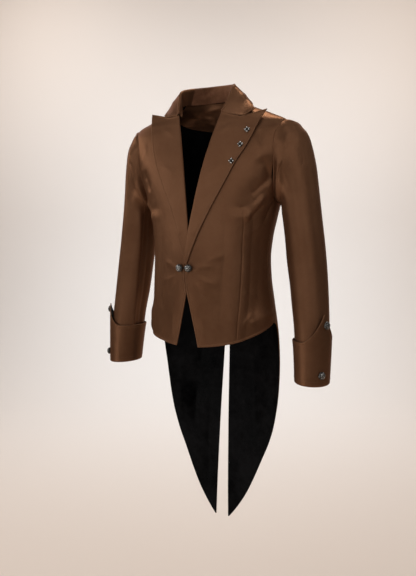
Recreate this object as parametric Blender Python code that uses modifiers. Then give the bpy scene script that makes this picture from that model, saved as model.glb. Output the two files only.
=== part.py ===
"""A tailcoat, worn open at the neck and linked at the waist, hollow as on a standing figure.

Metres, +Z up. The wearer faces -Y and the wearer's left arm is at +X. The origin lies between
the two neck points, on the line over the shoulders where the coat hangs on its wearer.
Every piece is cut on the wearer's left, and mirrored for the right.
"""

from collections import namedtuple
from math import asin, ceil, cos, degrees, exp, pi, radians, sin, sqrt

import bmesh
import bpy
from mathutils import Matrix, Vector

# Cloth and seams
SEAM_GAP = 0.0003
CLOTH = 0.0020
SLEEVE_CLOTH = 0.0018
LINING_CLOTH = 0.0011
FACING_CLOTH = 0.0013
COLLAR_CLOTH = 0.0020
LAYER = 0.0004
LINING_LAYER = 0.0009

# Finishes, in linear colour, and how rough each is
BROWN, BROWN_ROUGHNESS = (0.100, 0.050, 0.024), 0.62
BLACK, BLACK_ROUGHNESS = (0.006, 0.006, 0.007), 0.45
SILVER, SILVER_ROUGHNESS = (0.42, 0.41, 0.39), 0.32

# Heights of the cut, measured from the neck points
SHOULDER_TIP = -0.060
ARMPIT = -0.248
CUTAWAY_TOP = -0.474
FRONT_TIP = -0.606
FRONT_TIP_X = 0.030
SIDE_HEM = -0.550
TAIL_TIP = -1.118
GORGE = -0.030
BACK_NECK = 0.014
FRONT_NECK = -0.004
FACING_HEM = -0.062

# Half depths of the armhole, to the front and to the back of the side line
ARMHOLE_FRONT = 0.045
ARMHOLE_BACK = 0.074

# The hem's rise from the front tip to the side seam, first even and then steeper
HEM_EVEN_SHARE = 0.18
HEM_POWER = 2.1
HEM_REACH = 0.020

# The body of the coat in level sections, from the neck down to the ends of the tails.
# side_y is where the section is widest, and the depths are measured from there.
Section = namedtuple(
    "Section", "height half_width side_y front_depth back_depth front_power back_power")
SECTIONS = (
    Section(0.016, 0.0740, 0.018, 0.048, 0.073, 1.9, 2.1),
    Section(-0.002, 0.0815, 0.017, 0.053, 0.079, 1.9, 2.1),
    Section(-0.022, 0.1250, 0.013, 0.053, 0.088, 1.8, 2.1),
    Section(-0.042, 0.1740, 0.008, 0.053, 0.099, 1.8, 2.2),
    Section(-0.060, 0.2100, 0.005, 0.055, 0.108, 1.9, 2.3),
    Section(-0.080, 0.2200, 0.006, 0.061, 0.113, 2.1, 2.5),
    Section(-0.115, 0.2165, 0.011, 0.075, 0.116, 2.3, 2.6),
    Section(-0.150, 0.2095, 0.017, 0.089, 0.114, 2.4, 2.6),
    Section(-0.190, 0.1985, 0.023, 0.103, 0.107, 2.3, 2.6),
    Section(-0.240, 0.1830, 0.026, 0.114, 0.099, 2.1, 2.6),
    Section(-0.290, 0.1710, 0.024, 0.119, 0.093, 1.9, 2.6),
    Section(-0.340, 0.1620, 0.020, 0.122, 0.088, 1.8, 2.6),
    Section(-0.390, 0.1580, 0.018, 0.125, 0.085, 1.75, 2.6),
    Section(-0.440, 0.1605, 0.018, 0.126, 0.087, 1.75, 2.6),
    Section(-0.500, 0.1680, 0.019, 0.126, 0.093, 1.75, 2.6),
    Section(-0.560, 0.1765, 0.022, 0.129, 0.092, 1.75, 2.6),
    Section(-0.630, 0.1820, 0.030, 0.138, 0.081, 1.75, 2.5),
    Section(-0.720, 0.1880, 0.045, 0.110, 0.059, 1.75, 2.3),
    Section(-0.820, 0.1950, 0.056, 0.100, 0.040, 1.75, 2.2),
    Section(-0.920, 0.2050, 0.064, 0.090, 0.026, 1.75, 2.0),
    Section(-1.020, 0.2200, 0.067, 0.080, 0.018, 1.75, 2.0),
    Section(-1.130, 0.2400, 0.068, 0.070, 0.014, 1.75, 2.0),
)

# The front edge from the neck down: neck seam, then roll line, then the meeting edges
FrontEdge = namedtuple("FrontEdge", "height breadth")
FRONT_EDGE = (
    FrontEdge(-0.002, 0.0800),
    FrontEdge(-0.012, 0.0740),
    FrontEdge(-0.030, 0.0650),
    FrontEdge(-0.060, 0.0560),
    FrontEdge(-0.090, 0.0475),
    FrontEdge(-0.120, 0.0400),
    FrontEdge(-0.150, 0.0330),
    FrontEdge(-0.200, 0.0230),
    FrontEdge(-0.260, 0.0125),
    FrontEdge(-0.310, 0.0045),
    FrontEdge(-0.340, 0.0003),
)

# The left edge runs a little past the middle at the link, and back to it at the cutaway
MeetingEdge = namedtuple("MeetingEdge", "height past_middle")
MEETING_EDGE = (
    MeetingEdge(-0.340, 0.0000),
    MeetingEdge(-0.370, 0.0030),
    MeetingEdge(-0.420, 0.0060),
    MeetingEdge(-0.450, 0.0035),
    MeetingEdge(CUTAWAY_TOP, 0.0000),
)

# The lapel's outer edge, from the link up to the peak
LapelEdge = namedtuple("LapelEdge", "height breadth")
LAPEL_EDGE = (
    LapelEdge(-0.402, 0.0030),
    LapelEdge(-0.360, 0.0180),
    LapelEdge(-0.320, 0.0330),
    LapelEdge(-0.280, 0.0510),
    LapelEdge(-0.240, 0.0710),
    LapelEdge(-0.200, 0.0920),
    LapelEdge(-0.160, 0.1120),
    LapelEdge(-0.120, 0.1360),
    LapelEdge(-0.080, 0.1540),
)
PEAK_BREADTH = {1: 0.1715, -1: 0.1655}
LAPEL_SEAT = 0.0004
LAPEL_STAND_OFF = 0.0026
LAPEL_SPRING_POWER = 0.7
LAPEL_BROAD = 0.050
PEAK_SPRING_FROM = -0.130
PEAK_SPRING_SPAN = 0.100
PEAK_HEIGHT = {1: -0.0335, -1: -0.0225}
NOTCH_BREADTH = {1: 0.1150, -1: 0.0965}
NOTCH_HEIGHT = {1: -0.0500, -1: -0.0365}
LAPEL_LOW = -0.402
LAPEL_LEAST = 0.003
GORGE_DROP = 0.004
NOTCH_COLUMN = 3
NOTCH_FADE = 5
LAPEL_STEP = 0.026
PEAK_CLEARANCE = {1: 0.046, -1: 0.100}
EDGE_DRAW_IN = {1: 0.0, -1: 0.0180}
EDGE_DRAW_FROM = -0.160
EDGE_DRAW_SPAN = 0.080

# The collar, round from the middle of the back: neck seam, fold and outer edge of the leaf
CollarStation = namedtuple(
    "CollarStation",
    "round_share seam_x seam_y seam_z fold_x fold_y fold_z edge_x edge_y edge_z")
COLLAR = (
    CollarStation(0.00, 0.0000, 0.0890, 0.0150, 0.0000, 0.0855, 0.0580, 0.0000, 0.1110, -0.0020),
    CollarStation(0.25, 0.0420, 0.0770, 0.0120, 0.0300, 0.0765, 0.0560, 0.0520, 0.1020, -0.0040),
    CollarStation(0.50, 0.0620, 0.0560, 0.0080, 0.0480, 0.0480, 0.0495, 0.0860, 0.0700, -0.0060),
    CollarStation(0.70, 0.0740, 0.0240, 0.0030, 0.0620, 0.0200, 0.0430, 0.1050, 0.0330, -0.0080),
    CollarStation(0.85, 0.0755, 0.0010, -0.0040, 0.0740, -0.0050, 0.0330, 0.1180, 0.0030, -0.0145),
    CollarStation(1.00, 0.0590, -0.0310, -0.0360, 0.0625, -0.0345, -0.0315, 0.1445, -0.0200, -0.0335),
)
RIGHT_CORNER = {"edge_x": 0.1050, "edge_y": -0.0200, "edge_z": -0.0310}
LEAF_DIP = {1: 0.0120, -1: 0.0030}
DIP_SHARE = 0.25
LEAF_BULGE = 0.002
COLLAR_STEPS = 12
LEAF_STEPS = 4
LEAF_FLAT_FROM = 0.85
LEAF_ON_LAPEL = 0.8
LEAF_CENTRE_Y = 0.020
STAND_STEPS = 3
STAND_UNDER_FOLD = 0.0012
STAND_LEAST = 0.003

# The tail's outer edge, from the side of the hem down to its tip
TailEdge = namedtuple("TailEdge", "height breadth")
TAIL_EDGE = (
    TailEdge(-0.556, 0.1755),
    TailEdge(-0.640, 0.1750),
    TailEdge(-0.700, 0.1720),
    TailEdge(-0.760, 0.1670),
    TailEdge(-0.820, 0.1580),
    TailEdge(-0.880, 0.1420),
    TailEdge(-0.940, 0.1180),
    TailEdge(-1.000, 0.0930),
    TailEdge(-1.040, 0.0740),
    TailEdge(-1.080, 0.0500),
    TailEdge(-1.105, 0.0320),
    TailEdge(TAIL_TIP, 0.0215),
)
TAIL_HEAD = -0.562
TIP_ROWS = (0.008, 0.018)
VENT_TOP = -0.420
VENT_HALF_AT_TOP = 0.0003
VENT_HALF_AT_TIP = 0.0185
VENT_POWER = 0.8
CENTRE_BACK = 0.0002

# The sleeve in rings, each between its outer and inner point and as deep as half_depth
SleeveRing = namedtuple("SleeveRing", "outer_x outer_z inner_x inner_z middle_y half_depth")
SLEEVE = (
    SleeveRing(0.2320, -0.0685, 0.1900, -0.2550, 0.026, 0.0590),
    SleeveRing(0.2490, -0.0880, 0.1930, -0.2600, 0.033, 0.0600),
    SleeveRing(0.2590, -0.1200, 0.1950, -0.2660, 0.038, 0.0600),
    SleeveRing(0.2670, -0.1600, 0.1965, -0.2740, 0.042, 0.0600),
    SleeveRing(0.2735, -0.2100, 0.1985, -0.2870, 0.045, 0.0595),
    SleeveRing(0.2810, -0.2700, 0.2010, -0.3100, 0.046, 0.0585),
    SleeveRing(0.2915, -0.3450, 0.2060, -0.3560, 0.046, 0.0570),
    SleeveRing(0.3005, -0.4150, 0.2140, -0.4190, 0.043, 0.0550),
    SleeveRing(0.3075, -0.4850, 0.2220, -0.4870, 0.038, 0.0530),
    SleeveRing(0.3130, -0.5550, 0.2325, -0.5550, 0.031, 0.0505),
    SleeveRing(0.3160, -0.6200, 0.2385, -0.6180, 0.026, 0.0485),
    SleeveRing(0.3175, -0.6890, 0.2420, -0.6850, 0.020, 0.0470),
)
Keyed = namedtuple("Keyed", "index value")
FRONT_SEAM_TURN = 306.0
HIND_SEAM_TURN = 180.0
RING_SPACING = 0.0675
SLEEVE_RADIUS = 0.045
SHARE_PER_METRE = 1.0 / ((len(SLEEVE) - 1) * RING_SPACING)
SLEEVE_INSET = SLEEVE_CLOTH + 0.0005
SLEEVE_EDGE_OUT = (0.0045, 0.0002)

# The turned-back cuff: its height in front and at its point over the hind seam
CUFF_HEIGHT = 0.103
CUFF_POINT = {1: 0.066, -1: 0.058}
CUFF_POINT_SPREAD = 76.0
CUFF_POINT_POWER = 1.9
CUFF_POINT_TURN = 60.0
CUFF_FLARE = 0.0030
CUFF_POINT_OFF = {1: 0.003, -1: 0.007}
CUFF_TURN_STEP = 4.0
CUFF_RISE_STEP = 0.05

# Buttons and studs
BUTTON_RADIUS = 0.0094
BUTTON_DOME = 0.0062
BUTTON_RIM = 0.0014
BUTTON_SHOULDER = 0.90
BUTTON_FLAT = 0.80
BUTTON_RIM_FOOT = 0.3
BUTTON_STEPS = 4
BUTTON_SIDES = 14
LinkButton = namedtuple("LinkButton", "name breadth height")
LINK_BUTTONS = (LinkButton("link_button_left", 0.0080, -0.4120),
                LinkButton("link_button_right", -0.0180, -0.4125))
LINK_RADIUS = 0.0013
LINK_SEAT = 0.0037
LINK_TILT = 10.0
CuffButton = namedtuple("CuffButton", "name turn rise")
CUFF_BUTTONS = (CuffButton("upper", 66.0, 0.144), CuffButton("lower", 52.0, 0.024))
STUD_PEARL = 0.0023
STUD_REACH = 0.0036
STUD_BASE = 0.0048
STUD_TAPER = 0.92
STUD_PLATE = 0.0008
STUD_SIDES = 12
PEARL_RISE = 0.0011
PEARL_SEGMENTS = 7
PEARL_RINGS = 5
STUD_SEAT = 0.0012
LapelStud = namedtuple("LapelStud", "breadth height")
STUDS = (LapelStud(0.1345, -0.084), LapelStud(0.1215, -0.118), LapelStud(0.1035, -0.157))

# Folds large enough to see from a step away: the dart, a hollow and a ridge by the armhole.
# Each fades towards both ends, from a share of its depth that it keeps there
FOLD_END_SHARE = 0.25
FOLD_FADE = 4.0
FrontFold = namedtuple("FrontFold", "from_x from_z to_x to_z half_width depth")
FRONT_FOLDS = (
    FrontFold(0.1250, -0.268, 0.1175, -0.600, 0.010, -0.0015),
    FrontFold(0.1860, -0.205, 0.1700, -0.185, 0.022, -0.0060),
    FrontFold(0.1270, -0.300, 0.1700, -0.242, 0.014, 0.0040),
    FrontFold(0.1820, -0.530, 0.1330, -0.552, 0.016, 0.0025),
)

# Rows and columns of the walls
FRONT_COLUMNS = 10
LEAST_FRONT_TURN = 3.0
CUFF_COLUMNS = 24
CUFF_ROWS = 3
BACK_COLUMNS = 8
LAPEL_COLUMNS = 5
TOP_SLEEVE_COLUMNS = 13
UNDER_SLEEVE_COLUMNS = 7
SLEEVE_ROWS = 15
ROW_STEP = 0.036
ARMHOLE_ROWS = 10
SHOULDER_STEP = 0.013
TAIL_STEP = 0.046
DENSE = 60
TINY = 0.001
MERGE = 0.00001

# How far the lining and the facing stop short of their edges, as shares of a row's spacing
AT_JOIN = 0.05
AT_HALF = 0.5
AT_CENTRE_BACK = 0.04
AT_SHOULDER = 0.12


def clear_scene():
    """Remove everything that an earlier scene left."""
    for thing in list(bpy.data.objects):
        bpy.data.objects.remove(thing, do_unlink=True)


def material(name, colour, roughness, metallic=0.0):
    """A Principled finish, in linear colour."""
    finish = bpy.data.materials.new(name)
    finish.use_nodes = True
    shader = finish.node_tree.nodes["Principled BSDF"]
    shader.inputs["Base Color"].default_value = (*colour, 1.0)
    shader.inputs["Roughness"].default_value = roughness
    shader.inputs["Metallic"].default_value = metallic
    return finish


def smooth(rows, column, key, at):
    """The value of a table's column at a place along its key, on a curve without overshoot."""
    ordered = sorted(rows, key=lambda row: getattr(row, key))
    keys = [getattr(row, key) for row in ordered]
    values = [getattr(row, column) for row in ordered]
    if at <= keys[0]:
        return values[0]
    if at >= keys[-1]:
        return values[-1]
    last = len(keys) - 2
    index = max(i for i in range(last + 1) if keys[i] <= at)
    rises = [(values[i + 1] - values[i]) / (keys[i + 1] - keys[i]) for i in range(last + 1)]

    def slope(i):
        if i == 0:
            return rises[0]
        if i == last + 1:
            return rises[last]
        before, after = rises[i - 1], rises[i]
        return 0.0 if before * after <= 0 else 2 * before * after / (before + after)

    span = keys[index + 1] - keys[index]
    share = (at - keys[index]) / span
    rest = 1 - share
    return (values[index] * rest * rest * (1 + 2 * share)
            + values[index + 1] * share * share * (1 + 2 * rest)
            + span * share * rest * (slope(index) * rest - slope(index + 1) * share))


def section_at(height):
    """The level section of the coat at a height."""
    columns = Section._fields[1:]
    return Section(height, *(smooth(SECTIONS, name, "height", height) for name in columns))


def torso_point(height, turn):
    """A point on the coat's form. The turn is 0 at the front, 90 at the side, 180 at the back."""
    section = section_at(height)
    front = turn <= 90.0
    power = section.front_power if front else section.back_power
    depth = section.front_depth if front else section.back_depth
    across, along = sin(radians(turn)), abs(cos(radians(turn)))
    x = section.half_width * abs(across) ** (2 / power) * (1 if across >= 0 else -1)
    y = depth * along ** (2 / power)
    return Vector((x, section.side_y - y if front else section.side_y + y, height))


def turn_of_breadth(height, breadth, back=False):
    """The turn at which the form has a breadth, on its front or on its back."""
    section = section_at(height)
    power = section.back_power if back else section.front_power
    share = min(abs(breadth) / section.half_width, 1.0)
    turn = degrees(asin(min(share ** (power / 2), 1.0)))
    turn = turn if breadth >= 0 else -turn
    return 180.0 - turn if back else turn


def side_turn(height, back=False):
    """The turn of a panel's side edge at a height, on its seam or round the armhole."""
    middle = (SHOULDER_TIP + ARMPIT) / 2
    half = (SHOULDER_TIP - ARMPIT) / 2
    inside = max(0.0, 1 - ((height - middle) / half) ** 2)
    section = section_at(height)
    reach = max(SEAM_GAP / 2, (ARMHOLE_BACK if back else ARMHOLE_FRONT) * sqrt(inside))
    depth = section.back_depth if back else section.front_depth
    power = section.back_power if back else section.front_power
    turn = 90.0 - degrees(asin(min((reach / depth) ** (power / 2), 1.0)))
    return 180.0 - turn if back else turn


def form_x(height, y):
    """The breadth of the form at a height and a depth."""
    section = section_at(height)
    front = y <= section.side_y
    power = section.front_power if front else section.back_power
    depth = section.front_depth if front else section.back_depth
    share = min(abs(y - section.side_y) / depth, 1.0)
    return section.half_width * (1 - share ** power) ** (1 / power)


def form_y(height, breadth):
    """The front of the form at a height and a breadth."""
    section = section_at(height)
    share = min(abs(breadth) / section.half_width, 1.0)
    power = section.front_power
    return section.side_y - section.front_depth * (1 - share ** power) ** (1 / power)


def evenly(points, count):
    """The points of a curve spaced evenly along it, count steps in all."""
    lengths = [0.0]
    for before, after in zip(points, points[1:]):
        lengths.append(lengths[-1] + (after - before).length)
    result = []
    index = 0
    for step in range(count + 1):
        target = lengths[-1] * step / count
        while index < len(points) - 2 and lengths[index + 1] < target:
            index += 1
        span = lengths[index + 1] - lengths[index]
        share = min((target - lengths[index]) / span, 1.0) if span > 0 else 0.0
        result.append(points[index].lerp(points[index + 1], share))
    return result


def level_row(height, first_turn, last_turn, count):
    """A level row of the form between two turns."""
    dense = [torso_point(height, first_turn + (last_turn - first_turn) * i / DENSE)
             for i in range(DENSE + 1)]
    return evenly(dense, count)


def normals_of(grid, closed=False):
    """The outward direction at each point of a grid whose rows rise."""
    rows, columns = len(grid), len(grid[0])
    result = []
    for r in range(rows):
        line = []
        for c in range(columns):
            left = grid[r][(c - 1) % columns] if closed else grid[r][max(c - 1, 0)]
            right = grid[r][(c + 1) % columns] if closed else grid[r][min(c + 1, columns - 1)]
            below, above = grid[max(r - 1, 0)][c], grid[min(r + 1, rows - 1)][c]
            line.append((right - left).cross(above - below).normalized())
        result.append(line)
    return result


def moved_out(grid, distance, closed=False):
    """A grid moved out by a distance, or by a function of its points."""
    amount = distance if callable(distance) else (lambda point: distance)
    normals = normals_of(grid, closed)
    return [[point + normal * amount(point) for point, normal in zip(row, line)]
            for row, line in zip(grid, normals)]


def near_line(point, start, end):
    """How far a point of the front lies from a line drawn on it, and how far along."""
    way = Vector((end[0] - start[0], end[1] - start[1]))
    offset = Vector((point.x - start[0], point.z - start[1]))
    along = max(0.0, min(1.0, offset.dot(way) / way.length_squared))
    return (offset - way * along).length, along


def front_relief(point):
    """How far the folds of the front move a point out."""
    total = 0.0
    for fold in FRONT_FOLDS:
        away, along = near_line(point, (fold.from_x, fold.from_z), (fold.to_x, fold.to_z))
        fade = min(1.0, FOLD_FADE * min(along, 1 - along) + FOLD_END_SHARE)
        total += fold.depth * fade * exp(-(away / fold.half_width) ** 2)
    return total


def wall(name, grid, thickness, finish, closed=False, side=1):
    """One piece of cloth: a sheet of quads, thickened outwards by a Solidify modifier."""
    rows, columns = len(grid), len(grid[0])
    points = [(side * point.x, point.y, point.z) for row in grid for point in row]
    faces = []
    for r in range(rows - 1):
        for c in range(columns if closed else columns - 1):
            after = (c + 1) % columns
            face = (r * columns + c, r * columns + after,
                    (r + 1) * columns + after, (r + 1) * columns + c)
            faces.append(face if side > 0 else face[::-1])
    mesh = bpy.data.meshes.new(name)
    mesh.from_pydata(points, [], faces)
    mesh.shade_smooth()
    piece = bpy.data.objects.new(name, mesh)
    COAT.objects.link(piece)
    piece.data.materials.append(finish)
    shell = piece.modifiers.new("Cloth", "SOLIDIFY")
    shell.thickness = thickness
    shell.offset = 1.0
    shell.use_even_offset = True
    return piece


def heights_between(low, high, step):
    """Even heights from low to high, both ends included."""
    count = max(1, ceil((high - low) / step - 1e-9))
    return [low + (high - low) * i / count for i in range(count + 1)]


def body_heights(low, high):
    """Heights of the rows of a panel. Beside the armhole they are at even turns round it."""
    middle = (SHOULDER_TIP + ARMPIT) / 2
    half = (SHOULDER_TIP - ARMPIT) / 2
    armhole = [middle - half * cos(pi * row / ARMHOLE_ROWS) for row in range(1, ARMHOLE_ROWS)]
    return (heights_between(low, ARMPIT, ROW_STEP) + armhole
            + heights_between(SHOULDER_TIP, high, SHOULDER_STEP))


def front_edge_x(height, side):
    """The breadth of a front's edge at a height, from the hem to the neck."""
    if height >= MEETING_EDGE[0].height:
        return smooth(FRONT_EDGE, "breadth", "height", height) + SEAM_GAP
    if height >= CUTAWAY_TOP:
        return -side * smooth(MEETING_EDGE, "past_middle", "height", height) + SEAM_GAP
    share = (CUTAWAY_TOP - height) / (CUTAWAY_TOP - FRONT_TIP)
    return FRONT_TIP_X * share + SEAM_GAP


def hem_height(share):
    """The height of the front's hem, from its tip at 0 to the side seam at 1."""
    rise = HEM_EVEN_SHARE * share + (1 - HEM_EVEN_SHARE) * share ** HEM_POWER
    return FRONT_TIP + (SIDE_HEM - FRONT_TIP) * rise


def front_grid(side):
    """The sheet of one front, on the wearer's left whichever side it is for."""
    rows = []
    for height in body_heights(FRONT_TIP, FRONT_NECK):
        last = side_turn(height)
        first = min(turn_of_breadth(height, front_edge_x(height, side)), last - LEAST_FRONT_TURN)
        rows.append(level_row(height, first, last, FRONT_COLUMNS))
    # The rows over the hem rise towards the side, so that the lowest row is the hem itself
    level_from = sum(1 for row in rows if row[0].z < CUTAWAY_TOP + HEM_REACH)
    for index in range(level_from):
        start = rows[index][0].z
        fade = 1 - (start - FRONT_TIP) / (rows[level_from][0].z - FRONT_TIP)
        edge = front_edge_x(start, side)
        line = []
        for column in range(FRONT_COLUMNS + 1):
            share = column / FRONT_COLUMNS
            height = start + (hem_height(share) - FRONT_TIP) * fade
            first = turn_of_breadth(height, edge)
            line.append(level_row(height, first, side_turn(height), FRONT_COLUMNS)[column])
        rows[index] = line
    return moved_out(rows, front_relief)


def tail_inner_x(height):
    """The breadth of the vent's edge at a height."""
    if height > VENT_TOP:
        return CENTRE_BACK
    share = (VENT_TOP - height) / (VENT_TOP - TAIL_TIP)
    return VENT_HALF_AT_TOP + (VENT_HALF_AT_TIP - VENT_HALF_AT_TOP) * share ** VENT_POWER


def back_grid():
    """The sheet of one back with its tail, from the tip of the tail up to the neck."""
    rows = []
    tail = heights_between(TAIL_TIP, TAIL_HEAD, TAIL_STEP) + [TAIL_TIP + up for up in TIP_ROWS]
    for height in sorted(tail) + body_heights(SIDE_HEM, BACK_NECK):
        inner = turn_of_breadth(height, tail_inner_x(height), back=True)
        outer = side_turn(height, back=True)
        if height < SIDE_HEM - TINY:
            outer_x = smooth(TAIL_EDGE, "breadth", "height", height)
            outer = turn_of_breadth(height, outer_x, back=True)
        rows.append(level_row(height, outer, inner, BACK_COLUMNS))
    return rows


def lapel_grid(side):
    """The sheet of a lapel: its rows run from the roll line out, and the top one has the notch."""
    peak = PEAK_HEIGHT[side]
    edges = [*LAPEL_EDGE, LapelEdge(peak, PEAK_BREADTH[side])]
    roll_top = GORGE - GORGE_DROP
    notch_share = NOTCH_COLUMN / LAPEL_COLUMNS
    roll_top_x = front_edge_x(roll_top, side)
    bend_x = NOTCH_BREADTH[side] - (roll_top_x + (PEAK_BREADTH[side] - roll_top_x) * notch_share)
    bend_z = NOTCH_HEIGHT[side] - (roll_top + (peak - roll_top) * notch_share)
    heights = heights_between(LAPEL_LOW, peak, LAPEL_STEP)
    grid = []
    for index, height in enumerate(heights):
        up = index / (len(heights) - 1)
        roll_z = LAPEL_LOW + (roll_top - LAPEL_LOW) * up
        roll_x = front_edge_x(roll_z, side)
        drawn = max(0.0, min(1.0, (height - EDGE_DRAW_FROM) / EDGE_DRAW_SPAN)) * EDGE_DRAW_IN[side]
        edge_x = max(smooth(edges, "breadth", "height", height) - drawn, roll_x + LAPEL_LEAST)
        spring = min(1.0, (edge_x - roll_x) / LAPEL_BROAD)
        line = []
        for column in range(LAPEL_COLUMNS + 1):
            share = column / LAPEL_COLUMNS
            bend = min(share / notch_share, (1 - share) / (1 - notch_share))
            bend *= up ** NOTCH_FADE
            x = roll_x + (edge_x - roll_x) * share + bend_x * bend
            z = roll_z + (height - roll_z) * share + bend_z * bend
            line.append(Vector((x, lapel_y(z, x, share * spring, side), z)))
        grid.append(line)
    return grid


def lapel_y(height, breadth, spring, side=1):
    """The depth of a lapel: on the front at its roll, and clear of the shoulder at its peak."""
    section = section_at(height)
    rise = max(0.0, min(1.0, (height - PEAK_SPRING_FROM) / PEAK_SPRING_SPAN))
    widest = section.half_width + PEAK_CLEARANCE[side] * rise * rise
    power = section.front_power
    part = min(abs(breadth) / widest, 1.0)
    y = section.side_y - section.front_depth * (1 - part ** power) ** (1 / power)
    off = CLOTH + LAPEL_SEAT + LAPEL_STAND_OFF * spring ** LAPEL_SPRING_POWER
    return min(y, form_y(height, breadth)) - off


def collar_place(line, share, side=1):
    """A point of the collar's seam, fold or edge at a share of its way round."""
    corner = COLLAR[-1] if side > 0 else COLLAR[-1]._replace(**RIGHT_CORNER)
    return Vector([smooth([*COLLAR[:-1], corner], f"{line}_{axis}", "round_share", share)
                   for axis in "xyz"])


def mirrored_round(left, right):
    """Rows from the middle of the back, those for the right mirrored, made into rows right round."""
    other = [[Vector((-point.x, point.y, point.z)) for point in row] for row in right[1:]]
    return other[::-1] + left


def transposed(rows):
    """Rows for columns."""
    return [list(line) for line in zip(*rows)]


def collar_leaf_stations(side):
    """Rows of one side of the collar's leaf, round from the middle of the back."""
    stations = []
    for index in range(COLLAR_STEPS + 1):
        around = index / COLLAR_STEPS
        fold, edge = collar_place("fold", around), collar_place("edge", around, side)
        at_front = max(0.0, (around - LEAF_FLAT_FROM) / (1 - LEAF_FLAT_FROM)) ** 2
        line = []
        for step in range(LEAF_STEPS + 1):
            share = step / LEAF_STEPS
            point = edge.lerp(fold, share)
            outward = Vector((point.x, point.y - LEAF_CENTRE_Y, 0.0)).normalized()
            off = LEAF_BULGE * sin(pi * share) + COLLAR_CLOTH + 2 * LAYER
            point += outward * off * (1 - at_front)
            if share >= DIP_SHARE:
                point.z -= LEAF_DIP[side] * at_front * (1 - share) / (1 - DIP_SHARE)
            flat = lapel_y(point.z, point.x, LEAF_ON_LAPEL, side)
            point.y += (flat - point.y) * at_front
            line.append(point)
        stations.append(line)
    return stations


def collar_leaf_grid():
    """The sheet of the collar's leaf, from its outer edge up to the fold."""
    return transposed(mirrored_round(collar_leaf_stations(1), collar_leaf_stations(-1))[::-1])


def collar_stand_grid():
    """The sheet of the collar's stand, from the neck seam up to the fold."""
    stations = []
    for index in range(COLLAR_STEPS + 1):
        around = index / COLLAR_STEPS
        seam = collar_place("seam", around)
        high = collar_place("fold", around) - Vector((0.0, 0.0, STAND_UNDER_FOLD))
        high.z = max(high.z, seam.z + STAND_LEAST)
        stations.append([seam.lerp(high, step / STAND_STEPS) for step in range(STAND_STEPS + 1)])
    return transposed(mirrored_round(stations, stations)[::-1])


def trimmed(grid, low=0.0, high=0.0, first=0.0, last=0.0):
    """A grid whose outer rows and columns are drawn in by a share of their spacing."""
    rows = [list(row) for row in grid]
    rows[0] = [here.lerp(beyond, low) for here, beyond in zip(rows[0], rows[1])]
    rows[-1] = [here.lerp(beyond, high) for here, beyond in zip(rows[-1], rows[-2])]
    for row in rows:
        row[0] = row[0].lerp(row[1], first)
        row[-1] = row[-1].lerp(row[-2], last)
    return rows


def lining_grid():
    """The sheet of one half of the lining, inside the back and its tail."""
    rows = [row for row in back_grid() if row[0].z < FACING_HEM + TINY]
    rows = trimmed(rows, low=AT_HALF, high=AT_JOIN, last=AT_CENTRE_BACK)
    return moved_out(rows, -(LINING_CLOTH + LINING_LAYER))


def facing_grid():
    """The sheet of the back neck facing, inside the back under the neck seam."""
    rows = [row for row in back_grid() if row[0].z > FACING_HEM - TINY]
    rows = trimmed(rows, low=AT_JOIN, high=AT_HALF, first=AT_SHOULDER)
    left = moved_out(rows, -(FACING_CLOTH + LAYER))
    return [row[:-1] + [Vector((0.0, row[-1].y, row[-1].z))]
            + [Vector((-point.x, point.y, point.z)) for point in row[-2::-1]] for row in left]


def sleeve_ring(share):
    """One ring of the sleeve, from below the armhole at 0 to the wrist at 1."""
    place = share * (len(SLEEVE) - 1)
    return SleeveRing(*(smooth([Keyed(index, getattr(ring, name))
                                for index, ring in enumerate(SLEEVE)], "value", "index", place)
                        for name in SleeveRing._fields))


def sleeve_point(share, turn, out=0.0):
    """A point of the sleeve. The turn is 0 in front, 90 outside, 180 behind, 270 inside."""
    ring = sleeve_ring(share)
    outer = Vector((ring.outer_x, ring.middle_y, ring.outer_z))
    inner = Vector((ring.inner_x, ring.middle_y, ring.inner_z))
    way = (outer - inner) / 2
    reach = way.length
    across = way / reach
    return ((outer + inner) / 2 + across * (reach + out) * sin(radians(turn))
            - Vector((0, 1, 0)) * (ring.half_depth + out) * cos(radians(turn)))


def armhole_ring_point(turn, inset, out):
    """A point round the armhole, inset from its edge and moved out past the body."""
    middle = (SHOULDER_TIP + ARMPIT) / 2
    half = (SHOULDER_TIP - ARMPIT) / 2 - inset
    height = middle + half * sin(radians(turn))
    section = section_at(height)
    reach = (ARMHOLE_FRONT if cos(radians(turn)) > 0 else ARMHOLE_BACK) - inset
    y = section.side_y - reach * cos(radians(turn))
    return Vector((form_x(height, y) + out, y, height))


def sleeve_grid(first_turn, last_turn, columns):
    """The sheet of a part of the sleeve between two turns, from the wrist up."""
    shares = [index / SLEEVE_ROWS for index in range(SLEEVE_ROWS, -1, -1)]
    turns = [first_turn + (last_turn - first_turn) * column / columns
             for column in range(columns + 1)]
    rows = [[sleeve_point(share, turn) for turn in turns] for share in shares]
    for out in SLEEVE_EDGE_OUT:
        rows.append([armhole_ring_point(turn, SLEEVE_INSET, out) for turn in turns])
    return rows


def cuff_place(side, turn, rise):
    """A point of the turned-back cuff: rise is 0 at the wrist and 1 at its upper edge."""
    away = abs((turn - CUFF_POINT_TURN + 180) % 360 - 180)
    point = max(0.0, 1 - away / CUFF_POINT_SPREAD) ** CUFF_POINT_POWER
    height = (CUFF_HEIGHT + CUFF_POINT[side] * point) * rise
    off = CUFF_FLARE + CUFF_POINT_OFF[side] * point
    return sleeve_point(1.0 - height * SHARE_PER_METRE, turn,
                        SLEEVE_CLOTH + 2 * LAYER + off * rise)


def cuff_grid(side):
    """The sheet of a turned-back cuff, from the wrist up to its pointed edge."""
    turns = [360.0 * column / CUFF_COLUMNS for column in range(CUFF_COLUMNS)]
    return [[cuff_place(side, turn, step / CUFF_ROWS) for turn in turns]
            for step in range(CUFF_ROWS + 1)]


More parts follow.
